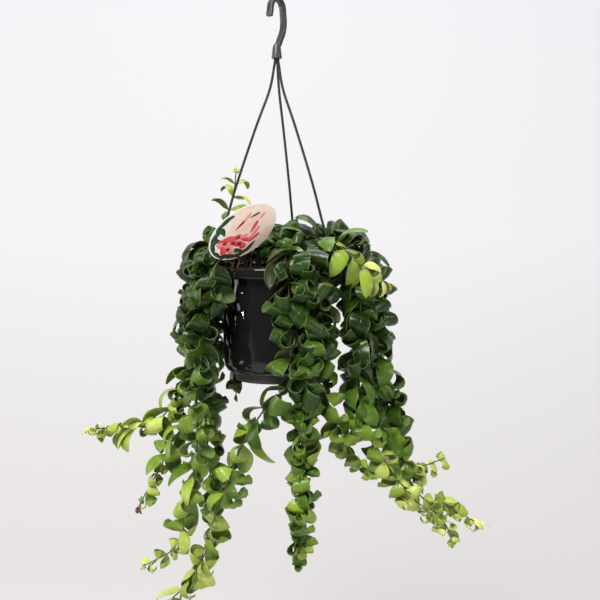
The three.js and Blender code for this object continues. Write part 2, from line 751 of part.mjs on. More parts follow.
// A stem's own solid: a slim tube whose rings lie between its leaves' feet, and at a foot where it bends
function stemSolid(stem, own) {
  const stations = stationsOf(stem);
  const total = stations.at(-1).length;
  const placeAt = (length) => (length > 0 ? stationAt(stations, length).place : stations[0].place);
  const feet = [...new Set(own.map((leaf) => leaf.station))];
  const between = feet.slice(1).map((foot, i) => (foot + feet[i]) / 2);
  const marks = [0, SOIL_TOP_Z - STEM_FOOT_Z, feet[0] - 8, ...between, total];
  const lengths = [0];
  for (let i = 1; i < marks.length; i++) {
    const [from, to] = [marks[i - 1], marks[i]];
    const parts = Math.max(1, Math.round((to - from) / STEM_STEP));
    const straight = placeAt(from).lerp(placeAt(to), 0.5);
    const bends = straight.distanceTo(placeAt((from + to) / 2)) > STEM_BEND;
    const pieces = bends ? 2 * parts : parts;
    for (let part = 1; part <= pieces; part++) {
      lengths.push(from + ((to - from) * part) / pieces);
    }
  }
  const places = lengths.map(placeAt);
  const curve = new THREE.CatmullRomCurve3(places, false, "catmullrom", 0.5);
  curve.getUtoTmapping = (u) => u;
  return solid(tube(curve, STEM_R, 3, places.length - 1));
}

// Everything in place. The soil is made last, with a hole for the stake and each stem.

const group = new THREE.Group();
group.add(potMesh());
group.add(hookMesh());
for (const [name, azimuth] of Object.entries(STRAND_AZIMUTHS)) {
  group.add(strandMesh(name, azimuth));
}
group.add(labelMesh());
const leaves = placeLeaves(STEMS);
const holes = [[STAKE_X, STAKE_Y, STAKE_HOLE_R, 6]];
STEMS.forEach((stem, owner) => {
  const own = leaves.filter((leaf) => leaf.owner === owner);
  const blades = shownLeaves(own).map(leafSolid);
  const whole = wasm.Manifold.union([stemSolid(stem, own), ...blades]);
  group.add(mesh(stem.name, geometryOf(whole), 0x2f5a1e, 0.45));
  const [x, y] = stem.route[0];
  holes.push([x, y, HOLE_R, 5]);
});
group.add(soilMesh(holes));

export default group;
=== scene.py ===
# Potted lipstick plant: curly-leaved trailing stems in a glossy pot that hangs by three strands
# from a hook. Metres in Blender; the plant's own measures below are in millimetres, as on the bench.

import math
from collections import namedtuple

import bpy
import numpy as np
from mathutils import Matrix, Vector


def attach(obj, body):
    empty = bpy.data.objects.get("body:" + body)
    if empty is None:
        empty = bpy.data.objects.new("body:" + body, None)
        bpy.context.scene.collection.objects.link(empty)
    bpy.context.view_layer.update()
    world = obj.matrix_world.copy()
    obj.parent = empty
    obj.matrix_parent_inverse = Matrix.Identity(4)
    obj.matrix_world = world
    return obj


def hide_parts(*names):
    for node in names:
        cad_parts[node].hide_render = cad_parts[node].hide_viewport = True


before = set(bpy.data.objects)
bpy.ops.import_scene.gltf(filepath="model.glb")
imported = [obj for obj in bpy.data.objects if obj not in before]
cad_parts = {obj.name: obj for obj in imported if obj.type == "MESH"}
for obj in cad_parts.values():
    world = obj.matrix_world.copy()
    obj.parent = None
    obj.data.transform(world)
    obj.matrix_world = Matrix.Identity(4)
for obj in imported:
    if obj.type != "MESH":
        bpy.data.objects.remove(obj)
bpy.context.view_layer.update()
MM = 0.001


# The camera stands level with the middle of the plant, a metre and a half in front of it, and looks
# a little down. It takes in the hook at the top of the picture and the lowest leaves at its foot.

CAMERA_PLACE = (0.030, -1.465, -0.270)
CAMERA_DOWN = 4.5
CAMERA_LENS = 67.2

camera = bpy.data.objects.new("camera", bpy.data.cameras.new("camera"))
bpy.context.scene.collection.objects.link(camera)
camera.data.lens = CAMERA_LENS
camera.data.sensor_width = 36
camera.location = CAMERA_PLACE
camera.rotation_euler = (math.radians(90 - CAMERA_DOWN), 0, 0)
bpy.context.scene.camera = camera


# The studio: a pale floor that sweeps up into a backdrop, a broad soft light above and in front, and
# tall soft lights at the sides. The room behind the camera is dim, so the pot stays black. The paint
# has one side, so a camera behind the backdrop sees the plant and the pale air beyond it.

FLOOR_Z = -1.02
FLOOR_WIDE = 7
FLOOR_DEEP = 4
BACKDROP_Y = 1.7
BACKDROP_TALL = 5
SWEEP_R = 0.9
SWEEP_STEPS = 16
PAINT_FROM_Z = -1.05
PAINT_TO_Z = 0.55
PAINT_TONES = (
    (0.0, (0.515, 0.49, 0.50, 1)),
    (0.45, (0.68, 0.67, 0.70, 1)),
    (1.0, (0.685, 0.675, 0.73, 1)),
)
PAINT_GLOW = 0.86
DIM_AIR = ((1, 0.98, 0.95, 1), 0.12)
PALE_AIR = (0.84, 0.83, 0.85, 1)
LAMP_COLOUR = (1, 0.975, 0.93)
LAMPS = {
    "softbox_front": ((-0.8, -1.6, 1.4), (0, 0, -0.5), (1.3, 0.9), 84),
    "softbox_left": ((-2.0, 0.0, -0.3), (0, 0, -0.5), (0.8, 1.4), 15),
    "softbox_right": ((1.9, -0.9, 0.3), (0, 0, -0.5), (0.4, 1.2), 12),
    "softbox_top": ((0.1, 0.2, 1.3), (0, 0, -0.4), (1.4, 1.4), 26),
    "softbox_low": ((0.7, -1.7, -1.0), (0, 0, -0.4), (0.9, 0.3), 7),
    "lamp_upper": ((-2.0, -0.53, -0.645), (0, 0, -0.43), (0.05, 0.03), 2.5),
    "lamp_lower": ((-2.0, -0.53, -0.737), (0, 0, -0.46), (0.05, 0.03), 2.5),
}

bpy.ops.object.select_all(action="DESELECT")
bpy.ops.mesh.primitive_plane_add(size=1, location=(0, BACKDROP_Y - FLOOR_DEEP / 2, FLOOR_Z))
backdrop = bpy.context.object
backdrop.name = "studio_floor"
backdrop.scale = (FLOOR_WIDE, FLOOR_DEEP, 1)
bpy.ops.object.transform_apply(location=True, rotation=False, scale=True)
bpy.ops.object.mode_set(mode="EDIT")
bpy.ops.mesh.select_mode(type="EDGE")
bpy.ops.mesh.select_all(action="DESELECT")
bpy.ops.object.mode_set(mode="OBJECT")
for edge in backdrop.data.edges:
    ends = [backdrop.data.vertices[i].co for i in edge.vertices]
    edge.select = all(abs(end.y - BACKDROP_Y) < 1e-4 for end in ends)
bpy.ops.object.mode_set(mode="EDIT")
bpy.ops.mesh.extrude_region_move(TRANSFORM_OT_translate={"value": (0, 0, BACKDROP_TALL)})
bpy.ops.object.mode_set(mode="OBJECT")
backdrop.modifiers.new("sweep", "BEVEL").width = SWEEP_R
backdrop.modifiers["sweep"].segments = SWEEP_STEPS
backdrop.modifiers["sweep"].affect = "EDGES"
bpy.ops.object.modifier_apply(modifier="sweep")
bpy.ops.object.shade_smooth()


def new_finish(name):
    """A new material, its node tree and its shader."""
    made = bpy.data.materials.new(name)
    made.use_nodes = True
    return made, made.node_tree, made.node_tree.nodes["Principled BSDF"]


def feed(tree, node, feeds):
    """Sets a node's inputs to plain values, or links them to the outputs that feed them."""
    for name, value in feeds.items():
        if isinstance(value, bpy.types.NodeSocket):
            tree.links.new(value, node.inputs[name])
        else:
            node.inputs[name].default_value = value


def wired(tree, kind, feeds, out=None, **settings):
    """A new shader node, set and fed. Gives back the output that is asked for, or the node."""
    made = tree.nodes.new(f"ShaderNode{kind}")
    for name, value in settings.items():
        setattr(made, name, value)
    feed(tree, made, feeds)
    return made.outputs[out] if out else made


def toned(tree, factor, tones):
    """A colour ramp over a factor, with each tone at its own place."""
    ramp = wired(tree, "ValToRGB", {"Fac": factor})
    elements = ramp.color_ramp.elements
    for _ in tones[2:]:
        elements.new(0.5)
    for element, (place, colour) in zip(elements, tones):
        element.position = place
        element.color = colour
    return ramp.outputs["Color"]


studio_paint, tree, shader = new_finish("studio_paint")
place = wired(tree, "TexCoord", {}, "Object")
height = wired(tree, "SeparateXYZ", {"Vector": place}, "Z")
rise_feeds = {"Value": height, "From Min": PAINT_FROM_Z, "From Max": PAINT_TO_Z}
rise = wired(tree, "MapRange", rise_feeds, "Result")
feed(tree, shader, {
    "Base Color": (0.25, 0.25, 0.25, 1),
    "Roughness": 0.95,
    "Specular IOR Level": 0.0,
    "Emission Color": toned(tree, rise, PAINT_TONES),
    "Emission Strength": PAINT_GLOW,
})
one_sided = wired(tree, "MixShader", {
    "Fac": wired(tree, "NewGeometry", {}, "Backfacing"),
    1: shader.outputs["BSDF"],
    2: wired(tree, "BsdfTransparent", {}, "BSDF"),
}, "Shader")
feed(tree, tree.nodes["Material Output"], {"Surface": one_sided})
backdrop.data.materials.append(studio_paint)

world = bpy.data.worlds.new("studio_air")
world.use_nodes = True
tree = world.node_tree
dim_air = tree.nodes["Background"]
feed(tree, dim_air, {"Color": DIM_AIR[0], "Strength": DIM_AIR[1]})
air = wired(tree, "MixShader", {
    "Fac": wired(tree, "LightPath", {}, "Is Camera Ray"),
    1: dim_air.outputs["Background"],
    2: wired(tree, "Background", {"Color": PALE_AIR}, "Background"),
}, "Shader")
feed(tree, tree.nodes["World Output"], {"Surface": air})
bpy.context.scene.world = world
bpy.context.scene.view_settings.view_transform = "Standard"

for name, (place, aim, size, power) in LAMPS.items():
    lamp = bpy.data.lights.new(name, "AREA")
    lamp.shape = "RECTANGLE"
    lamp.size, lamp.size_y = size
    lamp.energy = power
    lamp.color = LAMP_COLOUR
    holder = bpy.data.objects.new(name, lamp)
    bpy.context.scene.collection.objects.link(holder)
    holder.location = place
    holder.rotation_euler = (Vector(aim) - Vector(place)).to_track_quat("-Z", "Y").to_euler()


# The pot is one moulding of glossy black plastic: a nearly straight wall, a turned-over rim with a
# short skirt, and a narrower foot. The foot's ring is painted a lighter grey and made a little
# matter: the grey is painted light, for the light that falls on it from below. It is turned here as
# on a lathe, and hangs from its rim.

RIM_Z = -340
RIM_R = 84
SKIRT = 12.5
MOUTH_R = 71
BODY_R = 72.5
BODY_LOW_R = 70
BODY_Z = -478
FOOT_Z = -489
FOOT_R = 54
POT_PROFILE = [
    (FOOT_R - 7, FOOT_Z + 4),
    (FOOT_R - 5, FOOT_Z),
    (FOOT_R, FOOT_Z),
    (FOOT_R + 1.5, BODY_Z),
    (BODY_LOW_R - 8, BODY_Z + 1),
    (BODY_LOW_R - 4, BODY_Z + 2.5),
    (BODY_LOW_R - 1.4, BODY_Z + 7),
    (BODY_LOW_R, BODY_Z + 15),
    (BODY_LOW_R + 0.1, BODY_Z + 20),
    (BODY_R - 0.1, RIM_Z - 8),
    (BODY_R, RIM_Z - 4),
    (BODY_R + 1, RIM_Z - 2.6),
    (RIM_R - 3, RIM_Z - 2.2),
    (RIM_R - 1.9, RIM_Z - 3.4),
    (RIM_R - 1.7, RIM_Z - SKIRT),
    (RIM_R - 0.5, RIM_Z - SKIRT - 0.3),
    (RIM_R, RIM_Z - SKIRT + 0.5),
    (RIM_R, RIM_Z - SKIRT + 1.6),
    (RIM_R - 0.25, RIM_Z - 3.6),
    (RIM_R - 0.3, RIM_Z - 2.2),
    (RIM_R - 1.2, RIM_Z - 0.6),
    (RIM_R - 2.6, RIM_Z),
    (MOUTH_R + 1.4, RIM_Z),
    (MOUTH_R + 0.2, RIM_Z - 0.8),
    (MOUTH_R - 0.2, RIM_Z - 3),
    (BODY_LOW_R - 2, BODY_Z + 15),
    (BODY_LOW_R - 9, BODY_Z + 3),
    (8, BODY_Z + 3),
]
PEEL_SIZE = 900
DUST_SIZE = 60
DUST_FULL = 0.8
DUST_ROUGHENS = 0.35


def face_outward():
    """Turns all faces of the mesh that is being edited outward, and ends the editing."""
    bpy.ops.mesh.select_all(action="SELECT")
    bpy.ops.mesh.normals_make_consistent(inside=False)
    bpy.ops.object.mode_set(mode="OBJECT")


def turned(name, profile, sides):
    """A lathe-turned piece: one filled ring, drawn on from station to station."""
    radius, height = profile[0]
    bpy.ops.object.select_all(action="DESELECT")
    bpy.ops.mesh.primitive_circle_add(
        vertices=sides, radius=radius * MM, fill_type="NGON", location=(0, 0, height * MM)
    )
    piece = bpy.context.object
    piece.name = name
    bpy.ops.object.transform_apply(location=True, rotation=False, scale=False)
    bpy.ops.object.mode_set(mode="EDIT")
    bpy.ops.mesh.select_all(action="SELECT")
    for next_radius, next_height in profile[1:]:
        rise = (next_height - height) * MM
        bpy.ops.mesh.extrude_region_move(TRANSFORM_OT_translate={"value": (0, 0, rise)})
        grow = next_radius / radius
        bpy.ops.transform.resize(
            value=(grow, grow, 1), center_override=(0, 0, next_height * MM)
        )
        radius, height = next_radius, next_height
    face_outward()
    bpy.ops.object.shade_smooth_by_angle(angle=math.radians(40))
    return piece


def new_group(name, inputs, outputs):
    """A new node group of plain numbers, with the nodes that hold its inputs and its outputs."""
    group = bpy.data.node_groups.new(name, "ShaderNodeTree")
    for in_out, sockets in (("INPUT", inputs), ("OUTPUT", outputs)):
        for socket in sockets:
            group.interface.new_socket(socket, in_out=in_out, socket_type="NodeSocketFloat")
    return group, group.nodes.new("NodeGroupInput").outputs, group.nodes.new("NodeGroupOutput")


def moulded_skin():
    """The skin of moulded plastic: a fine orange-peel height and a mask of dust and dried drips."""
    group, given, outside = new_group(
        "moulded_skin", ("Peel size", "Dust size", "Dust cover"), ("Height", "Dust")
    )
    place = wired(group, "TexCoord", {}, "Object")
    peel_feeds = {"Vector": place, "Scale": given["Peel size"], "Detail": 3}
    dust_feeds = {"Vector": place, "Scale": given["Dust size"], "Detail": 8, "Roughness": 0.7}
    dust = wired(group, "TexNoise", dust_feeds, "Fac")
    spread_feeds = {"Value": dust, "From Min": given["Dust cover"], "From Max": DUST_FULL}
    feed(group, outside, {
        "Height": wired(group, "TexNoise", peel_feeds, "Fac"),
        "Dust": wired(group, "MapRange", spread_feeds, "Result"),
    })
    return group


MOULDED_SKIN = moulded_skin()


def mixed(tree, factor, a, b):
    """A colour between two others."""
    return wired(tree, "Mix", {"Factor": factor, "A": a, "B": b}, "Result", data_type="RGBA")


def plastic(name, clean, dusty, roughness, dust_cover, bump):
    """A moulded plastic: clean colour under a thin dust, a little rougher where the dust lies."""
    made, tree, shader = new_finish(name)
    skin_feeds = {"Peel size": PEEL_SIZE, "Dust size": DUST_SIZE, "Dust cover": dust_cover}
    skin = wired(tree, "Group", skin_feeds, node_tree=MOULDED_SKIN).outputs
    dusty_roughness = min(1, roughness + DUST_ROUGHENS)
    rough_feeds = {"Value": skin["Dust"], "To Min": roughness, "To Max": dusty_roughness}
    relief_feeds = {"Strength": bump, "Distance": 0.0002, "Height": skin["Height"]}
    feed(tree, shader, {
        "IOR": 1.5,
        "Base Color": mixed(tree, skin["Dust"], clean, dusty),
        "Roughness": wired(tree, "MapRange", rough_feeds, "Result"),
        "Normal": wired(tree, "Bump", relief_feeds, "Normal"),
    })
    return made


pot = turned("pot_moulding", POT_PROFILE, 96)
pot.data.materials.append(
    plastic("pot_black", (0.008, 0.008, 0.009, 1), (0.022, 0.021, 0.02, 1), 0.07, 0.6, 0.12)
)
# The foot's ring gets a lighter grey: painted light that stands for the light falling on it from
# below.
pot.data.materials.append(
    plastic("pot_foot_painted_light", (0.07, 0.068, 0.066, 1), (0.16, 0.15, 0.135, 1), 0.42, 0.45, 0.3)
)
for face in pot.data.polygons:
    if FOOT_Z + 1 < face.center.z / MM < BODY_Z and face.normal.z < 0.5:
        face.material_index = 1
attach(pot, "root")
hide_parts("pot")


# The soil is dark peat with crumbs, bits of bark and a few pale grains. It fills the pot to just
# under the rim and dips a little at the wall.

SOIL_EDGE_Z = -346
SOIL_TOP_Z = -342
SOIL_FLAT_R = 46
SOIL_PROFILE = [
    (40, BODY_Z + 3.3),
    (BODY_LOW_R - 9.5, BODY_Z + 3.3),
    (BODY_LOW_R - 2.3, BODY_Z + 15),
    (MOUTH_R - 0.6, SOIL_EDGE_Z),
]
SOIL_HEAVES = {"lumps": (0.011, 0.0042), "crumbs": (0.0035, 0.0022)}
SOIL_CRUMBS = 260
CRUMB_SPREAD = 68
CRUMB_SIZES = (0.9, 2.6)
CRUMB_SHAPES = (0.5, 1.4)
CRUMB_SUNK = 0.6
PEAT_TONES = (
    (0.35, (0.006, 0.004, 0.003, 1)),
    (0.62, (0.05, 0.03, 0.018, 1)),
    (0.78, (0.22, 0.15, 0.09, 1)),
)


def join_onto(piece, others):
    """Joins other objects onto a piece, which is the active one after it."""
    bpy.ops.object.select_all(action="DESELECT")
    for other in others:
        other.select_set(True)
    piece.select_set(True)
    bpy.context.view_layer.objects.active = piece
    bpy.ops.object.join()


dips = [
    (r, max(0, (r - SOIL_FLAT_R) / (MOUTH_R - SOIL_FLAT_R)) ** 1.5) for r in range(67, 3, -3)
]
soil_top = [(r, SOIL_TOP_Z + (SOIL_EDGE_Z - SOIL_TOP_Z) * dip) for r, dip in dips]
soil = turned("soil_fill", [*SOIL_PROFILE, *soil_top], 80)
top = soil.vertex_groups.new(name="top")
top.add([v.index for v in soil.data.vertices if v.co.z > (SOIL_EDGE_Z - 1) * MM], 1, "REPLACE")
for name, (size, height) in SOIL_HEAVES.items():
    pattern = bpy.data.textures.new(f"soil_{name}", "CLOUDS")
    pattern.noise_scale = size
    heave = soil.modifiers.new(name, "DISPLACE")
    heave.texture = pattern
    heave.direction = "Z"
    heave.strength = height
    heave.vertex_group = "top"
    bpy.ops.object.modifier_apply(modifier=name)

draw = np.random.default_rng(11)
bpy.ops.object.select_all(action="DESELECT")
bpy.ops.mesh.primitive_ico_sphere_add(subdivisions=1, radius=1)
crumb = bpy.context.object
grains = []
for _ in range(SOIL_CRUMBS):
    grain = crumb.copy()
    grain.data = crumb.data.copy()
    bpy.context.scene.collection.objects.link(grain)
    around, out = draw.uniform(0, 2 * math.pi), CRUMB_SPREAD * math.sqrt(draw.uniform(0, 1))
    size = draw.uniform(*CRUMB_SIZES) * MM
    x, y = out * math.cos(around), out * math.sin(around)
    grain.location = Vector((x, y, SOIL_TOP_Z - CRUMB_SUNK)) * MM
    grain.rotation_euler = draw.uniform(0, 6.28, 3)
    grain.scale = size * draw.uniform(*CRUMB_SHAPES, 3)
    grains.append(grain)
bpy.data.objects.remove(crumb)
join_onto(soil, grains)
bpy.ops.object.shade_smooth_by_angle(angle=math.radians(60))

peat, tree, shader = new_finish("peat")
place = wired(tree, "TexCoord", {}, "Object")
clod_feeds = {"Vector": place, "Scale": 190, "Detail": 8, "Roughness": 0.75}
clods = wired(tree, "TexNoise", clod_feeds, "Fac")
feed(tree, shader, {
    "Roughness": 0.95,
    "Specular IOR Level": 0.2,
    "Base Color": toned(tree, clods, PEAT_TONES),
    "Normal": wired(tree, "Bump", {"Distance": 0.0012, "Height": clods}, "Normal"),
})
soil.data.materials.append(peat)
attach(soil, "root")
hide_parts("soil")


# The hanger's hook is a flat bar of dark plastic bent into an S, moulded in one with the flared
# collar that takes the three strands. The bar's edges are slightly rounded.

HOOK_TURN = 55
BAR_THICK = 5.2
BAR_WIDE = 8
BAR_ROUNDING = 0.7
CROOK_R = 13.5
CROOK_Z = BAR_THICK / 2 - CROOK_R
CROOK_STEPS = 18
COLLAR_TOP_Z = -60
COLLAR_Z = -73
COLLAR_R = 6.8
SHANK_LINE = [
    (0, COLLAR_TOP_Z - 6),
    (-0.5, COLLAR_TOP_Z),
    (-6, -50),
    (-12.6, -38),
    (-15, -26),
    (-CROOK_R, CROOK_Z),
]
TIP_LINE = [(CROOK_R, CROOK_Z), (14.6, -16), (16, -21)]
COLLAR_PROFILE = [
    (0.4, COLLAR_TOP_Z + 6),
    (2.6, COLLAR_TOP_Z + 5.8),
    (3.9, COLLAR_TOP_Z + 5),
    (4.4, COLLAR_TOP_Z + 3.4),
    (5.2, COLLAR_TOP_Z + 1.6),
    (6.4, COLLAR_Z + 4),
    (COLLAR_R - 0.2, COLLAR_Z + 2.6),
    (COLLAR_R, COLLAR_Z + 0.8),
    (COLLAR_R - 0.5, COLLAR_Z),
    (4.9, COLLAR_Z),
    (4.4, COLLAR_Z + 0.5),
    (4.4, COLLAR_Z + 6),
    (0.4, COLLAR_Z + 6),
]


def smooth_line(points, steps):
    """Places along a smooth line through the given points, with a share of steps in every span."""
    points = [Vector(p) for p in points]
    ends = [2 * points[0] - points[1], *points, 2 * points[-1] - points[-2]]
    line = []
    for a, b, c, d in zip(ends, ends[1:], ends[2:], ends[3:]):
        slope, next_slope = (c - a) / 2, (d - b) / 2
        bend = 3 * (c - b) - 2 * slope - next_slope
        close = 2 * (b - c) + slope + next_slope
        for t in (i / steps for i in range(steps)):
            line.append(b + slope * t + bend * t**2 + close * t**3)
    return [*line, points[-1]]


def drawn_bar(name, spine):
    """A flat bar drawn on along a line in the plane of X and Z, square to the line all the way."""
    ways = [
        math.atan2(b[1] - a[1], b[0] - a[0])
        for a, b in zip([spine[0], *spine], [*spine[1:], spine[-1]])
    ]
    bpy.ops.object.select_all(action="DESELECT")
    bpy.ops.mesh.primitive_plane_add(size=MM, location=(spine[0][0] * MM, 0, spine[0][1] * MM))
    bar = bpy.context.object
    bar.name = name
    bar.scale = (BAR_THICK, BAR_WIDE, 1)
    bar.rotation_euler = (0, math.radians(90) - ways[0], 0)
    bpy.ops.object.transform_apply(location=True, rotation=True, scale=True)
    bpy.ops.object.mode_set(mode="EDIT")
    bpy.ops.mesh.select_all(action="SELECT")
    for here, there, way, next_way in zip(spine, spine[1:], ways, ways[1:]):
        step = ((there[0] - here[0]) * MM, 0, (there[1] - here[1]) * MM)
        bpy.ops.mesh.extrude_region_move(TRANSFORM_OT_translate={"value": step})
        bpy.ops.transform.rotate(
            value=(next_way - way + math.pi) % (2 * math.pi) - math.pi,
            orient_axis="Y",
            orient_type="GLOBAL",
            center_override=(there[0] * MM, 0, there[1] * MM),
        )
    face_outward()
    return bar


def round_edges(piece, width):
    """Rounds the sharp edges of the active piece."""
    rounding = piece.modifiers.new("rounding", "BEVEL")
    rounding.width = width * MM
    rounding.segments = 2
    rounding.limit_method = "ANGLE"
    rounding.angle_limit = math.radians(50)
    bpy.ops.object.modifier_apply(modifier="rounding")


crook = [
    Vector((-CROOK_R * math.cos(angle), CROOK_Z + CROOK_R * math.sin(angle)))
    for angle in (math.pi * i / CROOK_STEPS for i in range(CROOK_STEPS + 1))
]
spine = [*smooth_line(SHANK_LINE, 5)[:-1], *crook, *smooth_line(TIP_LINE, 3)[1:]]
hook = drawn_bar("hook_bar", spine)
round_edges(hook, BAR_ROUNDING)
hook.rotation_euler = (0, 0, math.radians(180 + HOOK_TURN))
bpy.ops.object.transform_apply(location=False, rotation=True, scale=False)
join_onto(hook, [turned("hook_collar", COLLAR_PROFILE, 40)])
bpy.ops.object.shade_smooth_by_angle(angle=math.radians(35))
hook.data.materials.append(
    plastic("hanger_grey", (0.035, 0.035, 0.037, 1), (0.11, 0.108, 0.1, 1), 0.34, 0.5, 0.4)
)
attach(hook, "root")
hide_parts("hanger_hook")


# The three strands are thin rods of black plastic. They leave the collar's recess, spread to the
# rim, run down its skirt and turn in under it, where a short foot keeps them.

STRAND_R = 1.7
STRAND_AZIMUTHS = {"left": 194, "right": 330, "back": 73}
STRAND_REACH = RIM_R + STRAND_R + 0.6
STRAND_UNDER_Z = RIM_Z - SKIRT - STRAND_R - 0.5
STRAND_STATIONS = [
    (2.25, 0, COLLAR_Z + 5),
    (2.25, 0, COLLAR_Z - 2),
    (3.6, 0, -84),
    (9.8, 0, -114),
    (28, 0, -162),
    (53, 0, -234),
    (68, 0, -284),
    (STRAND_REACH, 0, RIM_Z + 3),
    (STRAND_REACH, 0, RIM_Z - 6),
    (STRAND_REACH, 0, STRAND_UNDER_Z + 1.5),
    (STRAND_REACH - 1.5, 0, STRAND_UNDER_Z),
    (STRAND_REACH - 6, 0, STRAND_UNDER_Z),
]


def rod(name, places, radii, sides):
    """A round rod along a line of places, in millimetres, with its own radius at each of them."""
    bpy.ops.object.select_all(action="DESELECT")
    bpy.ops.curve.primitive_nurbs_path_add()
    made = bpy.context.object
    made.name = name
    line = made.data
    line.splines.clear()
    spline = line.splines.new("POLY")
    spline.points.add(len(places) - 1)
    for point, place, radius in zip(spline.points, places, radii):
        point.co = (*(Vector(place) * MM), 1)
        point.radius = radius * MM
    line.bevel_depth = 1
    line.bevel_resolution = (sides - 4) // 2
    line.use_fill_caps = True
    bpy.ops.object.convert(target="MESH")
    bpy.ops.object.shade_smooth()
    return bpy.context.object


strand_black = plastic(
    "strand_black", (0.014, 0.014, 0.015, 1), (0.06, 0.058, 0.055, 1), 0.3, 0.52, 0.3
)
for side, azimuth in STRAND_AZIMUTHS.items():
    swing = math.radians(azimuth)
    route = smooth_line(STRAND_STATIONS, 8)
    places = [(p.x * math.cos(swing), p.x * math.sin(swing), p.z) for p in route]
    strand = rod(f"strand_{side}", places, [STRAND_R] * len(places), 12)
    strand.data.materials.append(strand_black)
    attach(strand, "root")
    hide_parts(f"hanger_strand_{side}")


# The plant label is a round tag of thin white plastic, printed on its face, in one piece with the
# narrow dark stake that bends down into the soil. The print is a spray of red flowers and leaves,
# and it glows a little in its own colours: painted light that brightens the printed face, which
# looks downward.

LABEL_R = 48.5
LABEL_THICK = 0.8
LABEL_ROUNDING = 0.25
LABEL_CENTRE = Vector((-41, -71, -295))
LABEL_ALONG = Vector((0.79, 0, 0.61)).normalized()
LABEL_UP = Vector((-0.314, -0.857, 0.407)).normalized()
LABEL_FACE = LABEL_ALONG.cross(LABEL_UP)
STAKE_WIDE = 5
STAKE_X = -23.5
STAKE_Y = -23
STAKE_STEP = 3
STAKE_POINT_FROM = 0.8
STAKE_POINT = 0.6
STAKE_LINE = [
    LABEL_CENTRE + LABEL_UP * (9 - LABEL_R),
    LABEL_CENTRE + LABEL_UP * (1 - LABEL_R),
    (STAKE_X - 1, STAKE_Y - 1.5, -321),
    (STAKE_X, STAKE_Y, -335),
    (STAKE_X, STAKE_Y, SOIL_TOP_Z),
    (STAKE_X, STAKE_Y, -360),
]

# Each ink runs from a dark to a light shade across the petal or the leaf that it prints.
GREEN = ((0.010, 0.035, 0.018, 1), (0.06, 0.13, 0.06, 1))
RED = ((0.62, 0.02, 0.035, 1), (0.9, 0.16, 0.17, 1))
PINK = ((0.85, 0.16, 0.17, 1), (0.93, 0.45, 0.42, 1))
DARK_RED = ((0.12, 0.010, 0.016, 1), (0.32, 0.02, 0.04, 1))
WHITE = ((0.86, 0.82, 0.79, 1), (0.93, 0.9, 0.88, 1))
PEACH_TONES = ((0.35, (0.93, 0.60, 0.48, 1)), (0.6, (0.94, 0.78, 0.69, 1)))
BORDER_COLOUR = (0.9, 0.87, 0.8, 1)
BORDER_FROM = 0.955
BORDER_TO = 0.97
PAINTED_LABEL_LIGHT = 0.34

# Every printed petal: its place across and up the tag, its turn in degrees, its length, width, ink.
LABEL_PRINT = [
    (-0.52, 0.58, 38, 0.52, 0.26, WHITE), (-0.80, 0.02, 75, 0.42, 0.20, WHITE),
    (-0.60, -0.52, 120, 0.40, 0.22, WHITE), (-0.90, 0.20, 75, 0.22, 0.08, GREEN),
    (-0.76, 0.42, 50, 0.24, 0.09, GREEN), (-0.60, 0.62, 20, 0.22, 0.08, GREEN),
    (-0.44, 0.74, 55, 0.22, 0.08, GREEN), (-0.24, 0.84, 10, 0.24, 0.08, GREEN),
    (-0.06, 0.90, -20, 0.20, 0.06, GREEN), (-0.38, 0.56, 80, 0.20, 0.07, GREEN),
    (-0.64, 0.38, 110, 0.20, 0.07, GREEN), (-0.92, -0.12, 100, 0.22, 0.08, GREEN),
    (-0.78, -0.40, 140, 0.26, 0.09, GREEN), (-0.60, -0.66, 150, 0.26, 0.09, GREEN),
    (-0.34, -0.76, 175, 0.26, 0.08, GREEN), (-0.44, -0.54, 120, 0.22, 0.08, GREEN),
    (-0.10, -0.74, -160, 0.22, 0.07, GREEN), (-0.66, 0.14, -70, 0.20, 0.10, PINK),
    (-0.46, 0.20, -35, 0.24, 0.10, RED), (-0.70, -0.12, -100, 0.20, 0.10, RED),
    (-0.50, -0.04, -60, 0.22, 0.10, PINK), (-0.30, 0.02, -20, 0.24, 0.09, RED),
    (-0.54, -0.30, -110, 0.20, 0.09, PINK), (-0.32, -0.22, -70, 0.22, 0.10, RED),
    (-0.12, -0.14, -25, 0.22, 0.08, PINK), (-0.24, -0.44, -95, 0.20, 0.09, RED),
    (-0.06, -0.36, -55, 0.20, 0.08, RED), (-0.56, 0.10, -50, 0.08, 0.05, DARK_RED),
    (-0.60, -0.20, -90, 0.08, 0.05, DARK_RED), (-0.40, -0.12, -45, 0.08, 0.05, DARK_RED),
    (-0.20, -0.06, -20, 0.08, 0.05, DARK_RED), (-0.28, -0.32, -80, 0.08, 0.05, DARK_RED),
    (0.20, -0.34, 25, 0.26, 0.07, PINK), (0.30, -0.12, 35, 0.24, 0.06, RED),
    (0.12, -0.52, 10, 0.20, 0.06, RED), (0.10, 0.34, 15, 0.22, 0.045, DARK_RED),
    (0.34, 0.42, 28, 0.18, 0.04, PINK), (0.52, 0.30, -15, 0.16, 0.04, GREEN),
    (0.64, 0.06, 20, 0.14, 0.04, PINK),
]

bpy.ops.object.select_all(action="DESELECT")
bpy.ops.mesh.primitive_cylinder_add(vertices=96, radius=LABEL_R * MM, depth=LABEL_THICK * MM)
label = bpy.context.object
label.name = "label_tag"
round_edges(label, LABEL_ROUNDING)
pose = Matrix((LABEL_ALONG, LABEL_UP, LABEL_FACE)).transposed().to_4x4()
pose.translation = LABEL_CENTRE * MM
label.matrix_world = pose
bpy.ops.object.transform_apply(location=True, rotation=True, scale=False)

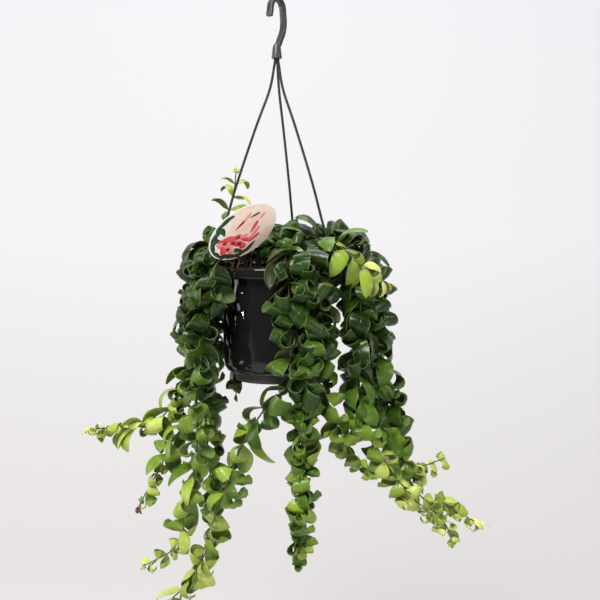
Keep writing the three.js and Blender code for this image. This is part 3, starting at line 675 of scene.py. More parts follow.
stake_line = smooth_line(STAKE_LINE, 6)
last = len(stake_line) - 1
bpy.ops.object.select_all(action="DESELECT")
bpy.ops.mesh.primitive_plane_add(size=MM)
stake = bpy.context.object
stake.scale = (STAKE_WIDE, LABEL_THICK, 1)
bpy.ops.object.transform_apply(location=False, rotation=False, scale=True)
bpy.ops.object.mode_set(mode="EDIT")
bpy.ops.mesh.select_all(action="SELECT")
for _ in stake_line[1:]:
    bpy.ops.mesh.extrude_region_move(TRANSFORM_OT_translate={"value": (0, 0, -STAKE_STEP * MM)})
bpy.ops.object.mode_set(mode="OBJECT")
for vertex in stake.data.vertices:
    i = round(-vertex.co.z / (STAKE_STEP * MM))
    along = (stake_line[min(i + 1, last)] - stake_line[max(i - 1, 0)]).normalized()
    wide = LABEL_ALONG.lerp(Vector((1, 0, 0)), min(1, 2 * i / last))
    wide = (wide - along * wide.dot(along)).normalized()
    narrow = STAKE_POINT if i / last > STAKE_POINT_FROM else 1
    sideways = wide * vertex.co.x * narrow + along.cross(wide) * vertex.co.y
    vertex.co = stake_line[i] * MM + sideways
bpy.ops.object.mode_set(mode="EDIT")
face_outward()
join_onto(label, [stake])
bpy.ops.object.shade_smooth_by_angle(angle=math.radians(20))

print_map = label.data.uv_layers.new(name="print")
for loop in label.data.loops:
    off = label.data.vertices[loop.vertex_index].co / MM - LABEL_CENTRE
    print_map.data[loop.index].uv = (off.dot(LABEL_ALONG) / LABEL_R, off.dot(LABEL_UP) / LABEL_R)
label.data.uv_layers.active = print_map
while len(label.data.uv_layers) > 1:
    spare = next(layer for layer in label.data.uv_layers if layer.name != "print")
    label.data.uv_layers.remove(spare)


def reckoned(tree, operation, *values, clamped=False):
    """A sum on plain numbers or on the outputs that feed them."""
    feeds = dict(enumerate(values))
    return wired(tree, "Math", feeds, "Value", operation=operation, use_clamp=clamped)


def printed_petal():
    """One printed petal or leaf: a drop shape at a place on the tag, turned and sized, as a mask."""
    group, given, outside = new_group(
        "printed_petal", ("Across", "Up", "Turn", "Length", "Width"), ("Mask", "Shade")
    )
    place = wired(group, "UVMap", {}, "UV", uv_map="print")
    centre = wired(group, "CombineXYZ", {"X": given["Across"], "Y": given["Up"]}, "Vector")
    off = wired(group, "VectorMath", {0: place, 1: centre}, "Vector", operation="SUBTRACT")
    turn_feeds = {"Vector": off, "Angle": given["Turn"]}
    level = wired(group, "VectorRotate", turn_feeds, "Vector", rotation_type="Z_AXIS")
    split = wired(group, "SeparateXYZ", {"Vector": level}).outputs
    x = reckoned(group, "DIVIDE", split["X"], given["Length"])
    taper = reckoned(group, "MULTIPLY_ADD", x, 0.45, 1)
    wide = reckoned(group, "MULTIPLY", given["Width"], taper)
    y = reckoned(group, "DIVIDE", split["Y"], wide)
    squares = [reckoned(group, "MULTIPLY", value, value) for value in (x, y)]
    edge_feeds = {"Value": reckoned(group, "ADD", *squares), "From Min": 1.1, "From Max": 0.9}
    feed(group, outside, {
        "Mask": wired(group, "MapRange", edge_feeds, "Result"),
        "Shade": reckoned(group, "MULTIPLY_ADD", y, 0.5, 0.5),
    })
    return group


PRINTED_PETAL = printed_petal()
label_print, tree, shader = new_finish("label_print")
place = wired(tree, "UVMap", {}, "UV", uv_map="print")
ink = toned(tree, wired(tree, "TexNoise", {"Vector": place, "Scale": 1.6}, "Fac"), PEACH_TONES)
for across, up, turn, length, width, (dark, light) in LABEL_PRINT:
    drop = {"Across": across, "Up": up, "Turn": -math.radians(turn), "Length": length, "Width": width}
    petal = wired(tree, "Group", drop, node_tree=PRINTED_PETAL).outputs
    ink = mixed(tree, petal["Mask"], ink, mixed(tree, petal["Shade"], dark, light))
reach = wired(tree, "VectorMath", {0: place}, "Value", operation="LENGTH")
border_feeds = {"Value": reach, "From Min": BORDER_FROM, "From Max": BORDER_TO}
edged = mixed(tree, wired(tree, "MapRange", border_feeds, "Result"), ink, BORDER_COLOUR)
# The print glows in its own colours: painted light that brightens the downward-facing tag.
feed(tree, shader, {
    "Roughness": 0.32,
    "Base Color": edged,
    "Emission Color": edged,
    "Emission Strength": PAINTED_LABEL_LIGHT,
})

label.data.materials.append(
    plastic("label_white", (0.62, 0.61, 0.58, 1), (0.5, 0.48, 0.43, 1), 0.4, 0.55, 0.2)
)
label.data.materials.append(label_print)
label.data.materials.append(
    plastic("stake_green", (0.012, 0.022, 0.014, 1), (0.05, 0.05, 0.035, 1), 0.45, 0.5, 0.2)
)
for face in label.data.polygons:
    on_disc = (face.center / MM - LABEL_CENTRE).length < LABEL_R + 0.5
    printed = on_disc and face.normal.dot(LABEL_FACE) > 0.9
    face.material_index = 1 if printed else 0 if on_disc else 2
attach(label, "root")
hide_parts("plant_label")


# The leafy stems grow from the soil, arch over the rim and trail. Their waxy leaves stand in crossed
# pairs and roll back lengthwise, dark green below and lime at the growing tips.

STEM_R = 1.35
STEM_FOOT_Z = -362

# A stem's route, the length of its leaves and the share of it at the tip, the gap between pairs,
# the bare foot, the share of open rolls, the least share of later leaves down to its end (None for
# a sparse stem without any), the leaves' slimness, and its new growth: from what share of the stem
# on it turns lime, the tone at the tip, and the tip's red-brown blush.
Stem = namedtuple(
    "Stem",
    ("route", "leaf", "tip", "gap", "bare", "open", "late", "slim", "lime"),
    defaults=(54, 0.6, 17, 12, 0.1, 0, 1, (0.8, 0.5, 0)),
)
STEMS = {
    "stem_lime_shoot": Stem([
        (30, -18, -330), (54, -44, -308), (80, -74, -314), (104, -89, -333), (124, -92, -350),
        (138, -93, -357),
    ], tip=0.35, bare=34, open=0.85, late=None, slim=0.8, lime=(-0.6, 1, 0.5)),
    "stem_front_long": Stem([
        (27, -50, -330), (32, -92, -322), (38, -106, -377), (39, -107, -432), (37, -104, -482),
        (32, -101, -526), (32, -98, -576), (30, -96, -640), (28, -94, -680), (28, -92, -704),
    ], tip=0.72, gap=15, bare=20, open=0.05, late=0.8, lime=(0.55, 0.62, 0.9)),
    "stem_front_left": Stem([
        (6, -52, -330), (12, -92, -325), (17, -105, -377), (19, -103, -433), (16, -99, -483),
        (-8, -96, -506), (-30, -92, -538), (-48, -86, -573), (-60, -82, -608), (-74, -78, -643),
        (-84, -74, -672),
    ], leaf=60, tip=0.5, gap=19, open=0.2, lime=(0.5, 0.6, 0.1)),
    "stem_front_right": Stem([
        (38, -42, -330), (50, -82, -322), (55, -94, -378), (54, -90, -434), (59, -87, -485),
        (70, -86, -519), (84, -82, -552), (97, -80, -574), (112, -78, -594),
    ], gap=15, open=0.05, lime=(0.6, 0.65, 0.1)),
    "stem_left_outer": Stem([
        (-58, -6, -330), (-86, -16, -316), (-99, -22, -342), (-103, -26, -386),
        (-105, -30, -441), (-117, -34, -485), (-135, -36, -518), (-157, -38, -540),
        (-189, -36, -548), (-222, -33, -549), (-242, -30, -551),
    ], leaf=50, tip=0.5, gap=15, open=0.3, late=1, lime=(0.3, 1, 0.1)),
    "stem_left_front": Stem([
        (-50, -26, -330), (-84, -42, -318), (-96, -50, -352), (-97, -56, -406), (-98, -60, -463),
        (-102, -62, -508), (-113, -64, -533), (-132, -63, -561), (-148, -61, -595),
        (-162, -59, -619), (-176, -57, -645),
    ], leaf=52, tip=0.5, gap=16, open=0.15, lime=(0.6, 0.75, 1)),
    "stem_left_inner": Stem([
        (-40, -42, -330), (-68, -64, -328), (-88, -70, -368), (-91, -73, -424), (-95, -77, -470),
        (-99, -82, -506), (-98, -82, -557), (-106, -80, -606), (-118, -76, -641),
        (-118, -73, -674), (-134, -70, -700), (-166, -64, -719),
    ], leaf=52, tip=0.5, gap=16, lime=(0.6, 0.9, 0.1)),
    "stem_left_long": Stem([
        (-44, 8, -330), (-82, 12, -312), (-99, 14, -340), (-103, 12, -388), (-102, 8, -445),
        (-97, 0, -498), (-93, -10, -557), (-89, -16, -603), (-84, -18, -656), (-89, -18, -703),
        (-106, -18, -739), (-124, -18, -765), (-145, -18, -786), (-160, -18, -806),
    ], leaf=52, tip=0.8, open=0.2, late=0.3, lime=(0.55, 0.9, 0.15)),
    "stem_right_front": Stem([
        (52, -4, -330), (88, -32, -314), (104, -50, -345), (106, -64, -380), (105, -67, -417),
        (103, -65, -469), (103, -62, -514), (114, -60, -549), (135, -56, -582), (155, -54, -612),
        (182, -50, -643), (208, -48, -659), (228, -46, -690),
    ], tip=0.45, gap=16, late=0.5, lime=(0.5, 0.95, 0.2)),
    "stem_right_outer": Stem([
        (58, 10, -330), (96, -4, -310), (120, -14, -342), (130, -20, -390), (133, -22, -442),
        (143, -20, -488), (154, -20, -528), (161, -20, -574), (169, -20, -610), (193, -20, -646),
        (227, -20, -655), (261, -20, -678),
    ], tip=0.45, gap=16, late=0.6, lime=(0.55, 1, 0.8)),
    "stem_right_back": Stem([
        (48, 26, -330), (88, 30, -310), (117, 34, -340), (127, 38, -402), (125, 36, -462),
        (132, 32, -516), (146, 28, -563), (167, 24, -598), (191, 22, -611), (220, 20, -602),
    ], tip=0.5, bare=20, open=0.15, late=0.5, lime=(0.6, 0.9, 0.1)),
    "stem_right_middle": Stem([
        (60, -24, -330), (96, -20, -318), (116, -40, -350), (118, -46, -400), (114, -44, -455),
        (108, -40, -505), (98, -36, -545), (92, -34, -575),
    ], gap=16, open=0.05),
    "stem_upright": Stem([
        (-60, 26, -330), (-67, 20, -303), (-65, 16, -273), (-57, 12, -246), (-54, 10, -220),
    ], leaf=44, tip=0.5, gap=18, bare=40, open=1, late=None, slim=0.55, lime=(-1.5, 0.8, 0.1)),
}

# Short stems crown the soil, one hangs short at the left, and five hang behind the pot.
CROWN_ROUTES = {
    "front": [(12, -26, -330), (14, -40, -310), (18, -60, -306), (20, -78, -312)],
    "right": [(26, 2, -330), (42, -4, -310), (60, -10, -306), (78, -14, -311)],
    "middle": [(2, -4, -330), (4, -2, -314), (10, -8, -304), (18, -18, -300)],
    "back": [(-6, 18, -330), (-8, 34, -312), (-8, 54, -309), (-10, 74, -316)],
    "left": [(-22, 4, -330), (-34, 16, -312), (-40, 34, -307), (-44, 54, -312)],
    "right_back": [(36, 16, -330), (52, 26, -311), (68, 34, -307), (82, 38, -312)],
    "far": [(16, 28, -330), (34, 44, -311), (46, 58, -307), (58, 70, -313)],
    "side": [(-34, -12, -330), (-50, 4, -306), (-64, 14, -298), (-78, 20, -302)],
}
LEFT_SHORT_ROUTE = [
    (-40, 28, -330), (-80, 38, -312), (-102, 42, -345), (-110, 42, -400), (-106, 40, -455),
    (-110, 38, -502),
]
BACK_ROUTES = {
    "right": [
        (38, 40, -330), (78, 64, -316), (102, 78, -350), (110, 80, -410), (110, 77, -470),
        (115, 74, -530), (123, 70, -575),
    ],
    "middle": [
        (22, 50, -330), (40, 84, -318), (44, 98, -352), (44, 100, -420), (42, 98, -480),
        (46, 96, -545),
    ],
    "long": [
        (6, 54, -330), (-4, 94, -318), (-8, 106, -352), (-10, 106, -405), (-8, 104, -455),
        (-10, 103, -500),
    ],
    "short": [
        (-18, 52, -330), (-46, 82, -316), (-56, 94, -350), (-58, 94, -410), (-54, 92, -470),
        (-60, 92, -525),
    ],
    "left": [
        (-38, 46, -330), (-72, 62, -314), (-86, 72, -345), (-94, 76, -400), (-92, 72, -460),
        (-98, 72, -520), (-106, 70, -580), (-112, 68, -640),
    ],
}
for side, route in CROWN_ROUTES.items():
    STEMS[f"stem_crown_{side}"] = Stem(route, leaf=48, tip=0.75, gap=13, bare=16, open=0.2)
STEMS["stem_left_short"] = Stem(LEFT_SHORT_ROUTE, leaf=52, gap=16)
for side, route in BACK_ROUTES.items():
    STEMS[f"stem_back_{side}"] = Stem(route)

# The ways a leaf rolls: its curl over the length and its skew in its own plane, in degrees, and
# its cross arch. The tight rolls come first.
ROLLS = [
    (235, 10, 0.14), (270, -20, 0.12), (250, 18, 0.16), (300, 24, 0.1), (215, -12, 0.18),
    (280, -26, 0.12), (130, 10, 0.2), (80, -8, 0.2),
]
TIGHT_ROLLS = 6
ROLL_FROM = 0.24
LEAF_SLIM = 0.46
LEAF_BARE = 0.06
LEAF_FULL = 2.05
LEAF_FOOT_ROUND = 0.45
LEAF_TIP_ROUND = 0.6

# How the leaves stand on a stem: pairs cross with a slow drift, and each leaf is a little off.
PAIR_TURN = 99
TURN_SPREAD = 24
LEAN = 15
LEAN_SPREAD = 30
LEAN_AT_TIP = 25
FACE_LEAN = 0.4
TWIST_SPREAD = 70
SIZE_LEAST = 0.86
SIZE_SPREAD = 0.28
FULL_SIZE_TO = 0.3
GAP_LEAST = 0.45
SAMPLES = 16

# What a leaf tries until it has room: a turn about its stem and a twist, in degrees, and a size.
TRIES = [
    (0, 0, 1), (0, 35, 1), (0, -35, 1), (25, 0, 1), (-25, 0, 1), (25, 50, 1), (-25, -50, 1),
    (0, 0, 0.84), (45, 30, 0.84), (-45, -30, 0.84), (0, 60, 0.84), (0, -60, 0.84),
    (0, 0, 0.7), (60, 0, 0.7), (-60, 0, 0.7),
]
ROOM = 4.6
OWN_ROOM = 2.6
STEM_ROOM = 4.8
OWN_STEM_ROOM = 3.6
POT_ROOM = 2.5
POT_ROOM_BELOW = 2
STRAND_ROOM = 5
STRAND_SAG = 4
STRAND_LOW_Z = RIM_Z - SKIRT - 8
LABEL_ROOM = 3
STAKE_ROOM = 6
STAKE_TOP_Z = -314
SHOWN_LABEL_R = 42
SHOWN_LABEL_DEEP = 40
LEAF_REACH = 70
BARK_REACH = 40
UP = np.array([0.0, 0.0, 1.0])

# The places on a blade at which it is felt, in rows: a share of its length and how many across.
PROBE_ROWS = ((0.25, 4), (0.37, 4), (0.5, 4), (0.62, 4), (0.75, 4), (0.88, 4), (1, 1))
PROBE_LEAST = 0.8
MIDDLE_PROBE = 9
FOOT_PROBES = 4

# A later, smaller growth fills the stems near the pot and thins out below it.
LATE_ALL_Z = -370
LATE_NONE_Z = -520
LATE_BARE = 0.3
SEED_STEP = 37
FIRST_GROWTH = {"seed": 1000, "late": 0, "ease": 1}
LATER_GROWTH = {"seed": 7000, "late": 0.5, "ease": 0.5}


def drawer(seed):
    """A seeded draw of numbers between 0 and 1."""
    state = seed
    while True:
        state = state * 16807 % 2147483647
        yield state / 2147483647


def unit(v):
    """A direction of length one."""
    return v / np.linalg.norm(v)


def stations_of(stem):
    """Even stations along a stem, upright in the soil and then through its route: place, direction,
    two cross directions carried along, and the length so far."""
    x, y, _ = stem.route[0]
    points = np.array([(x, y, STEM_FOOT_Z), (x, y, SOIL_TOP_Z), *stem.route], float)
    ends = np.vstack([2 * points[0] - points[1], points, 2 * points[-1] - points[-2]])
    count = (len(points) - 1) * SAMPLES

    def place_at(t):
        """The place at a share of the way from the first point to the last."""
        p = (len(points) - 1) * t
        i = min(int(math.floor(p)), len(points) - 2)
        w = p - i
        a, b, c, d = ends[i : i + 4]
        slope, next_slope = (c - a) / 2, (d - b) / 2
        bend = -3 * b + 3 * c - 2 * slope - next_slope
        return b + slope * w + bend * w * w + (2 * b - 2 * c + slope + next_slope) * w * w * w

    stations = []
    length, across, last = 0.0, np.array([1.0, 0.0, 0.0]), place_at(0)
    for i in range(count + 1):
        place = place_at(i / count)
        length += float(np.linalg.norm(place - last))
        last = place
        along = unit(place_at(min(1, (i + 1) / count)) - place_at(max(0, (i - 1) / count)))
        across = unit(across - along * across.dot(along))
        stations.append((place, along, across, np.cross(along, across), length))
    return stations


def station_at(stations, length):
    """The station at a length along a stem, without the length."""
    i = next(i for i, station in enumerate(stations) if station[4] >= length)
    before, after = stations[i - 1], stations[i]
    t = (length - before[4]) / (after[4] - before[4])
    return (before[0] + (after[0] - before[0]) * t, *after[1:4])


def half_width(s):
    """Half of a leaf's width against its length, at a share of the way from foot to tip."""
    swell = max(0.0, (s - LEAF_BARE) / (1 - LEAF_BARE))
    return LEAF_SLIM / 2 * LEAF_FULL * swell**LEAF_FOOT_ROUND * (1 - swell) ** LEAF_TIP_ROUND


def pose_leaf(station, wish, aside, twisted, share):
    """A leaf in its place: foot, the way it grows out, the way its face looks, size and roll."""
    place, along, across, over = station
    angle = wish["angle"] + math.radians(aside)
    around = across * math.cos(angle) + over * math.sin(angle)
    out = around * math.cos(wish["lean"]) + along * math.sin(wish["lean"])
    face = UP + along * FACE_LEAN
    face = unit(face - out * face.dot(out))
    twist = wish["twist"] + math.radians(twisted)
    face = face * math.cos(twist) + np.cross(out, face) * math.sin(twist)
    return {
        "foot": place, "out": out, "face": face, "aside": np.cross(face, out),
        "length": wish["length"] * share, "roll": wish["roll"],
    }


def probes_of(leaf):
    """Points on the rolled blade at which it is felt."""
    rows = [
        (s, 2 * i / (count - 1) - 1 if count > 1 else 0.0)
        for s, count in PROBE_ROWS
        for i in range(count)
    ]
    s, side = np.array(rows).T
    (curl, skew, arch), length = leaf["roll"], leaf["length"]
    skew = math.radians(skew)
    half = np.array([max(PROBE_LEAST, half_width(v) * length) for v in s])
    x, y = length * s, np.where(s < 1, half * side, 0)
    bent = x * math.cos(skew) + y * math.sin(skew)
    level = y * math.cos(skew) - x * math.sin(skew)
    raised = -arch * half * side * side
    start = ROLL_FROM * length
    radius = (length - start) / math.radians(curl)
    angle = np.maximum(0, bent - start) / radius
    forward = np.minimum(bent, start) + (radius + raised) * np.sin(angle)
    rise = (radius + raised) * np.cos(angle) - radius
    out = math.cos(skew) * forward - math.sin(skew) * level
    aside = math.sin(skew) * forward + math.cos(skew) * level
    return (
        leaf["foot"] + np.outer(out, leaf["out"])
        + np.outer(aside, leaf["aside"]) + np.outer(rise, leaf["face"])
    )


def clear_of_pot(points):
    """Whether all points are clear of the pot and its rim, the strands, the label and its stake,
    and none hides the label's middle from the front."""
    x, y, z = points.T
    r = np.hypot(x, y)
    for radius, low, high in ((RIM_R, RIM_Z - SKIRT, RIM_Z), (BODY_R, FOOT_Z, RIM_Z)):
        level = (z > low - POT_ROOM_BELOW) & (z < high + POT_ROOM)
        if ((r < radius + POT_ROOM) & level).any():
            return False
    down = np.clip((COLLAR_Z - z) / (COLLAR_Z - RIM_Z), 0, 1)
    reach = down * (RIM_R + STRAND_R) - STRAND_SAG * np.sin(math.pi * down)
    for azimuth in STRAND_AZIMUTHS.values():
        swing = math.radians(azimuth)
        off = np.hypot(x - reach * math.cos(swing), y - reach * math.sin(swing))
        if ((z > STRAND_LOW_Z) & (off < STRAND_ROOM)).any():
            return False
    off = points - np.array(LABEL_CENTRE)
    height = off @ np.array(LABEL_FACE)
    flat = np.linalg.norm(off - np.outer(height, np.array(LABEL_FACE)), axis=1)
    on_label = (np.abs(height) < LABEL_ROOM) & (flat < LABEL_R + LABEL_ROOM)
    before_label = (np.hypot(off[:, 0], off[:, 2]) < SHOWN_LABEL_R) & (off[:, 1] < SHOWN_LABEL_DEEP)
    on_stake = (np.hypot(x - STAKE_X, y - STAKE_Y) <= STAKE_ROOM) & (z <= STAKE_TOP_Z)
    return not (on_label | before_label | on_stake).any()


def apart(some, others):
    """The least distance between two sets of points."""
    gap = some[..., :, None, :] - others[..., None, :, :]
    return math.sqrt((gap * gap).sum(-1).min())


def has_room(probes, owner, placed, bark, bark_owner, ease):
    """Whether a leaf is clear of the pot, of every stem's bark and of the leaves placed so far."""
    if not clear_of_pot(probes):
        return False
    middle = probes[MIDDLE_PROBE]
    near = np.linalg.norm(bark - middle, axis=1) < BARK_REACH
    own, others = bark[near & (bark_owner == owner)], bark[near & (bark_owner != owner)]
    if len(own) and apart(probes[FOOT_PROBES:], own) < OWN_STEM_ROOM * ease:
        return False
    if len(others) and apart(probes, others) < STEM_ROOM * ease:
        return False
    for leaf in placed:
        off = leaf["probes"][MIDDLE_PROBE] - middle
        if off @ off < LEAF_REACH**2:
            room = OWN_ROOM if leaf["owner"] == owner else ROOM
            if apart(leaf["probes"], probes) < room * ease:
                return False
    return True


def wished_leaf(stem, draw, pair, way, age, size):
    """What the draws wish for one leaf, before its room is known."""
    turned_by, leaned, twisted, sized, rolled, opened = (next(draw) for _ in range(6))
    kinds = ROLLS[TIGHT_ROLLS:] if opened < stem.open else ROLLS[:TIGHT_ROLLS]
    return {
        "angle": math.radians(PAIR_TURN * pair + 180 * way + TURN_SPREAD * (turned_by - 0.5)),
        "lean": math.radians(LEAN + LEAN_SPREAD * leaned + LEAN_AT_TIP * age**4),
        "twist": math.radians(TWIST_SPREAD * (twisted - 0.5)),
        "length": stem.leaf * size * (SIZE_LEAST + SIZE_SPREAD * sized),
        "roll": kinds[int(rolled * len(kinds))],
    }


def place_leaves(lines, placed, seed, late, ease):
    """Adds leaves to every stem, in opposite pairs that cross each other, each where it has room."""
    bark = np.array([s[0] for line in lines for s in line[::2]])
    bark_owner = np.array([owner for owner, line in enumerate(lines) for _ in line[::2]])
    for owner, stem in enumerate(STEMS.values()):
        if late and stem.late is None:
            continue
        draw = drawer(seed + SEED_STEP * owner)
        total = lines[owner][-1][4]
        first = stem.bare * (LATE_BARE if late else 1) + SOIL_TOP_Z - STEM_FOOT_Z
        length, pair = first + late * stem.gap, 0
        while length < total - 1:
            age = (length - first) / (total - first)
            shrunk = max(0, (age - FULL_SIZE_TO) / (1 - FULL_SIZE_TO)) ** 3
            size = 1 + (stem.tip - 1) * shrunk
            station = station_at(lines[owner], length)
            near_pot = (station[0][2] - LATE_NONE_Z) / (LATE_ALL_Z - LATE_NONE_Z)
            for way in (0, 1):
                wish = wished_leaf(stem, draw, pair, way, age, size)
                if late and next(draw) > max(stem.late, near_pot):
                    continue
                for aside, twisted, share in TRIES:
                    leaf = pose_leaf(station, wish, aside, twisted, share)
                    leaf["probes"] = probes_of(leaf)
                    if has_room(leaf["probes"], owner, placed, bark, bark_owner, ease):
                        placed.append({**leaf, "owner": owner, "age": age})
                        break
            length += stem.gap * (GAP_LEAST + (1 - GAP_LEAST) * size)
            pair += 1


lines = [stations_of(stem) for stem in STEMS.values()]
leaves = []
place_leaves(lines, leaves, **FIRST_GROWTH)
print("leaves placed:", len(leaves))
place_leaves(lines, leaves, **LATER_GROWTH)
print("with the smaller ones between them:", len(leaves))

# One leaf of each roll is modelled flat, at a length of one, then thickened and rolled. It carries
# its map from foot to tip and from edge to edge, and a mark of which side is its upper one.

LEAF_ROWS = (0, 0.07, 0.16, 0.27, 0.38, 0.49, 0.6, 0.71, 0.82, 0.92, 1)
LEAF_THICK = 0.028
EDGE_THIN = 0.3
FOOT_HALF = 0.016
TIP_HALF = 0.006
SET_BY = 2


def blade_half(s):
    """Half of the flat blade's width at a share of its length, with a narrow foot and tip."""
    return max(FOOT_HALF, half_width(s)) if s < 0.999 else TIP_HALF


def pick(mesh, x, side):
    """Selects the flat blade's vertices at one length and one distance from its midrib."""
    for part in (mesh.vertices, mesh.edges, mesh.polygons):
        part.foreach_set("select", [False] * len(part))
    for vertex in mesh.vertices:
        co = vertex.co
        vertex.select = abs(co.x - x) < 0.01 and abs(abs(co.y) - side) < 0.01 and co.z == 0


def mark_points(mesh, name, values):
    """Lays one value to a vertex into an attribute of the mesh."""
    marks = mesh.attributes.get(name) or mesh.attributes.new(name, "FLOAT", "POINT")
    marks.data.foreach_set("value", values)


def flat_leaf(name, arch):
    """A flat blade with its outline, cross arch, map and thickness. Each row is set by at first."""
    rows = len(LEAF_ROWS) - 1
    bpy.ops.object.select_all(action="DESELECT")
    bpy.ops.mesh.primitive_grid_add(
        x_subdivisions=rows, y_subdivisions=2, size=1, location=(0.5, 0, 0)
    )
    leaf = bpy.context.object
    leaf.name = name
    bpy.ops.object.transform_apply(location=True, rotation=False, scale=False)
    for row, s in enumerate(LEAF_ROWS):
        half = blade_half(s)
        for side, drop in ((0.5, arch * half), (0, 0)):
            pick(leaf.data, row / rows, side)
            bpy.ops.object.mode_set(mode="EDIT")
            bpy.ops.transform.translate(value=(s - row / rows + SET_BY, 0, -drop))
            bpy.ops.transform.resize(value=(1, 2 * half, 1), center_override=(0, 0, 0))
            bpy.ops.object.mode_set(mode="OBJECT")
    bpy.ops.object.mode_set(mode="EDIT")
    bpy.ops.mesh.select_all(action="SELECT")
    bpy.ops.transform.translate(value=(-SET_BY, 0, 0))
    bpy.ops.object.mode_set(mode="OBJECT")
    blade = leaf.data.uv_layers.active
    blade.name = "blade"
    for loop in leaf.data.loops:
        co = leaf.data.vertices[loop.vertex_index].co
        blade.data[loop.index].uv = (co.x, 0.5 + 0.5 * co.y / blade_half(co.x))
    body = leaf.vertex_groups.new(name="body")
    for vertex in leaf.data.vertices:
        x, y, _ = vertex.co
        near_edge = x > 0.99 or abs(y) > 0.9 * blade_half(x)
        body.add([vertex.index], EDGE_THIN if near_edge else 1, "REPLACE")
    thicken = leaf.modifiers.new("thicken", "SOLIDIFY")
    thicken.thickness = LEAF_THICK
    thicken.offset = 0
    thicken.vertex_group = "body"
    bpy.ops.object.modifier_apply(modifier="thicken")
    count = len(leaf.data.vertices)
    mark_points(leaf.data, "upper", [1.0] * (count // 2) + [0.0] * (count - count // 2))
    mark_points(leaf.data, "tone", [0.0] * count)
    mark_points(leaf.data, "blush", [0.0] * count)
    return leaf


def rolled_leaf(name, curl, skew, arch):
    """A leaf that is rolled back over its length, about an axis askew in its own plane."""
    leaf = flat_leaf(name, arch)
    along = Vector((math.cos(math.radians(skew)), math.sin(math.radians(skew)), 0))
    down = Vector((0, 0, -1))
    turn = Matrix((down, along.cross(down), along)).transposed().to_4x4()
    turn.translation = along * ROLL_FROM
    axis = bpy.data.objects.new("roll_axis", None)
    bpy.context.scene.collection.objects.link(axis)
    axis.matrix_world = turn
    reach = [vertex.co.dot(along) for vertex in leaf.data.vertices]
    bend = leaf.modifiers.new("roll", "SIMPLE_DEFORM")
    bend.deform_method = "BEND"
    bend.deform_axis = "Y"
    bend.origin = axis
    bend.angle = (max(reach) - ROLL_FROM) * math.radians(curl) / (1 - ROLL_FROM)
    bend.limits = ((ROLL_FROM - min(reach)) / (max(reach) - min(reach)), 1)
    bpy.context.view_layer.update()
    bpy.ops.object.modifier_apply(modifier="roll")
    bpy.data.objects.remove(axis)
    bpy.ops.object.shade_smooth_by_angle(angle=math.radians(75))
    return leaf


# The leaf's wax: dark to lime by the leaf's own tone, with a pale rim and midrib, faint side veins
# and soft mottling, matt and paler on the underside, and red-brown where the leaf is marked so.

LEAF_TONES = (
    (0.0, (0.006, 0.018, 0.002, 1)),
    (0.3, (0.020, 0.056, 0.003, 1)),
    (0.5, (0.070, 0.150, 0.010, 1)),
    (0.75, (0.28, 0.40, 0.045, 1)),
    (1.0, (0.64, 0.68, 0.20, 1)),
)
UPPER_MARKS = (
    ("Rim", 0.28, (0.24, 0.34, 0.07, 1)),
    ("Midrib", 0.07, (0.16, 0.24, 0.05, 1)),
    ("Veins", 0.03, (0.2, 0.3, 0.08, 1)),
)
UNDER_MARKS = (("Midrib", 0.6, (0.3, 0.38, 0.14, 1)),)
UNDER_PALE = (0.42, (0.19, 0.28, 0.10, 1))
LEAF_BLUSH = (0.28, 0.06, 0.025, 1)
UPPER_ROUGHNESS = 0.3
UNDER_ROUGHNESS = 0.62
MOTTLE = 0.16
MIDRIB_SUNK = 0.7
VEIN_WAVES = 44
VEIN_SLANT = 0.35


def blade_markings():
    """The markings of a blade: its midrib, side veins, pale rim and soft mottling."""
    group, _, outside = new_group("blade_markings", (), ("Midrib", "Veins", "Rim", "Mottle"))
    place = wired(group, "UVMap", {}, "UV", uv_map="blade")
    split = wired(group, "SeparateXYZ", {"Vector": place}).outputs

    def band(value, low, high):
        """A soft step from one value to another."""
        span = {"Value": value, "From Min": low, "From Max": high}
        return wired(group, "MapRange", span, "Result", interpolation_type="SMOOTHSTEP")

    side = reckoned(group, "ABSOLUTE", reckoned(group, "SUBTRACT", split["Y"], 0.5))
    drawn_back = reckoned(group, "MULTIPLY", side, VEIN_SLANT)
    slant = reckoned(group, "SUBTRACT", split["X"], drawn_back)
    wave = reckoned(group, "SINE", reckoned(group, "MULTIPLY", slant, VEIN_WAVES))
    cloud_feeds = {"Vector": wired(group, "TexCoord", {}, "Object"), "Scale": 120, "Detail": 3}
    feed(group, outside, {
        "Midrib": band(side, 0.05, 0.0),
        "Veins": band(wave, 0.75, 1.0),
        "Rim": band(side, 0.40, 0.49),
        "Mottle": wired(group, "TexNoise", cloud_feeds, "Fac"),
    })
    return group


def mark(tree, name):
    """The value that a vertex's own mark holds."""
    return wired(tree, "Attribute", {}, "Fac", attribute_name=name)


def faint(tree, value, share):
    """A share of a value, held between 0 and 1."""
    return reckoned(tree, "MULTIPLY_ADD", value, share, 0, clamped=True)


leaf_wax, tree, shader = new_finish("leaf_wax")
marks = wired(tree, "Group", {}, node_tree=blade_markings()).outputs
mottled = reckoned(tree, "MULTIPLY_ADD", marks["Mottle"], MOTTLE, mark(tree, "tone"))
upper_side = toned(tree, reckoned(tree, "SUBTRACT", mottled, MOTTLE / 2), LEAF_TONES)
under_side = mixed(tree, UNDER_PALE[0], upper_side, UNDER_PALE[1])
for name, share, colour in UPPER_MARKS:
    upper_side = mixed(tree, faint(tree, marks[name], share), upper_side, colour)
for name, share, colour in UNDER_MARKS:
    under_side = mixed(tree, faint(tree, marks[name], share), under_side, colour)
blade = mixed(tree, mark(tree, "upper"), under_side, upper_side)
sheen_feeds = {
    "Value": mark(tree, "upper"), "To Min": UNDER_ROUGHNESS, "To Max": UPPER_ROUGHNESS
}
swell = reckoned(tree, "MULTIPLY_ADD", marks["Midrib"], -MIDRIB_SUNK, marks["Mottle"])
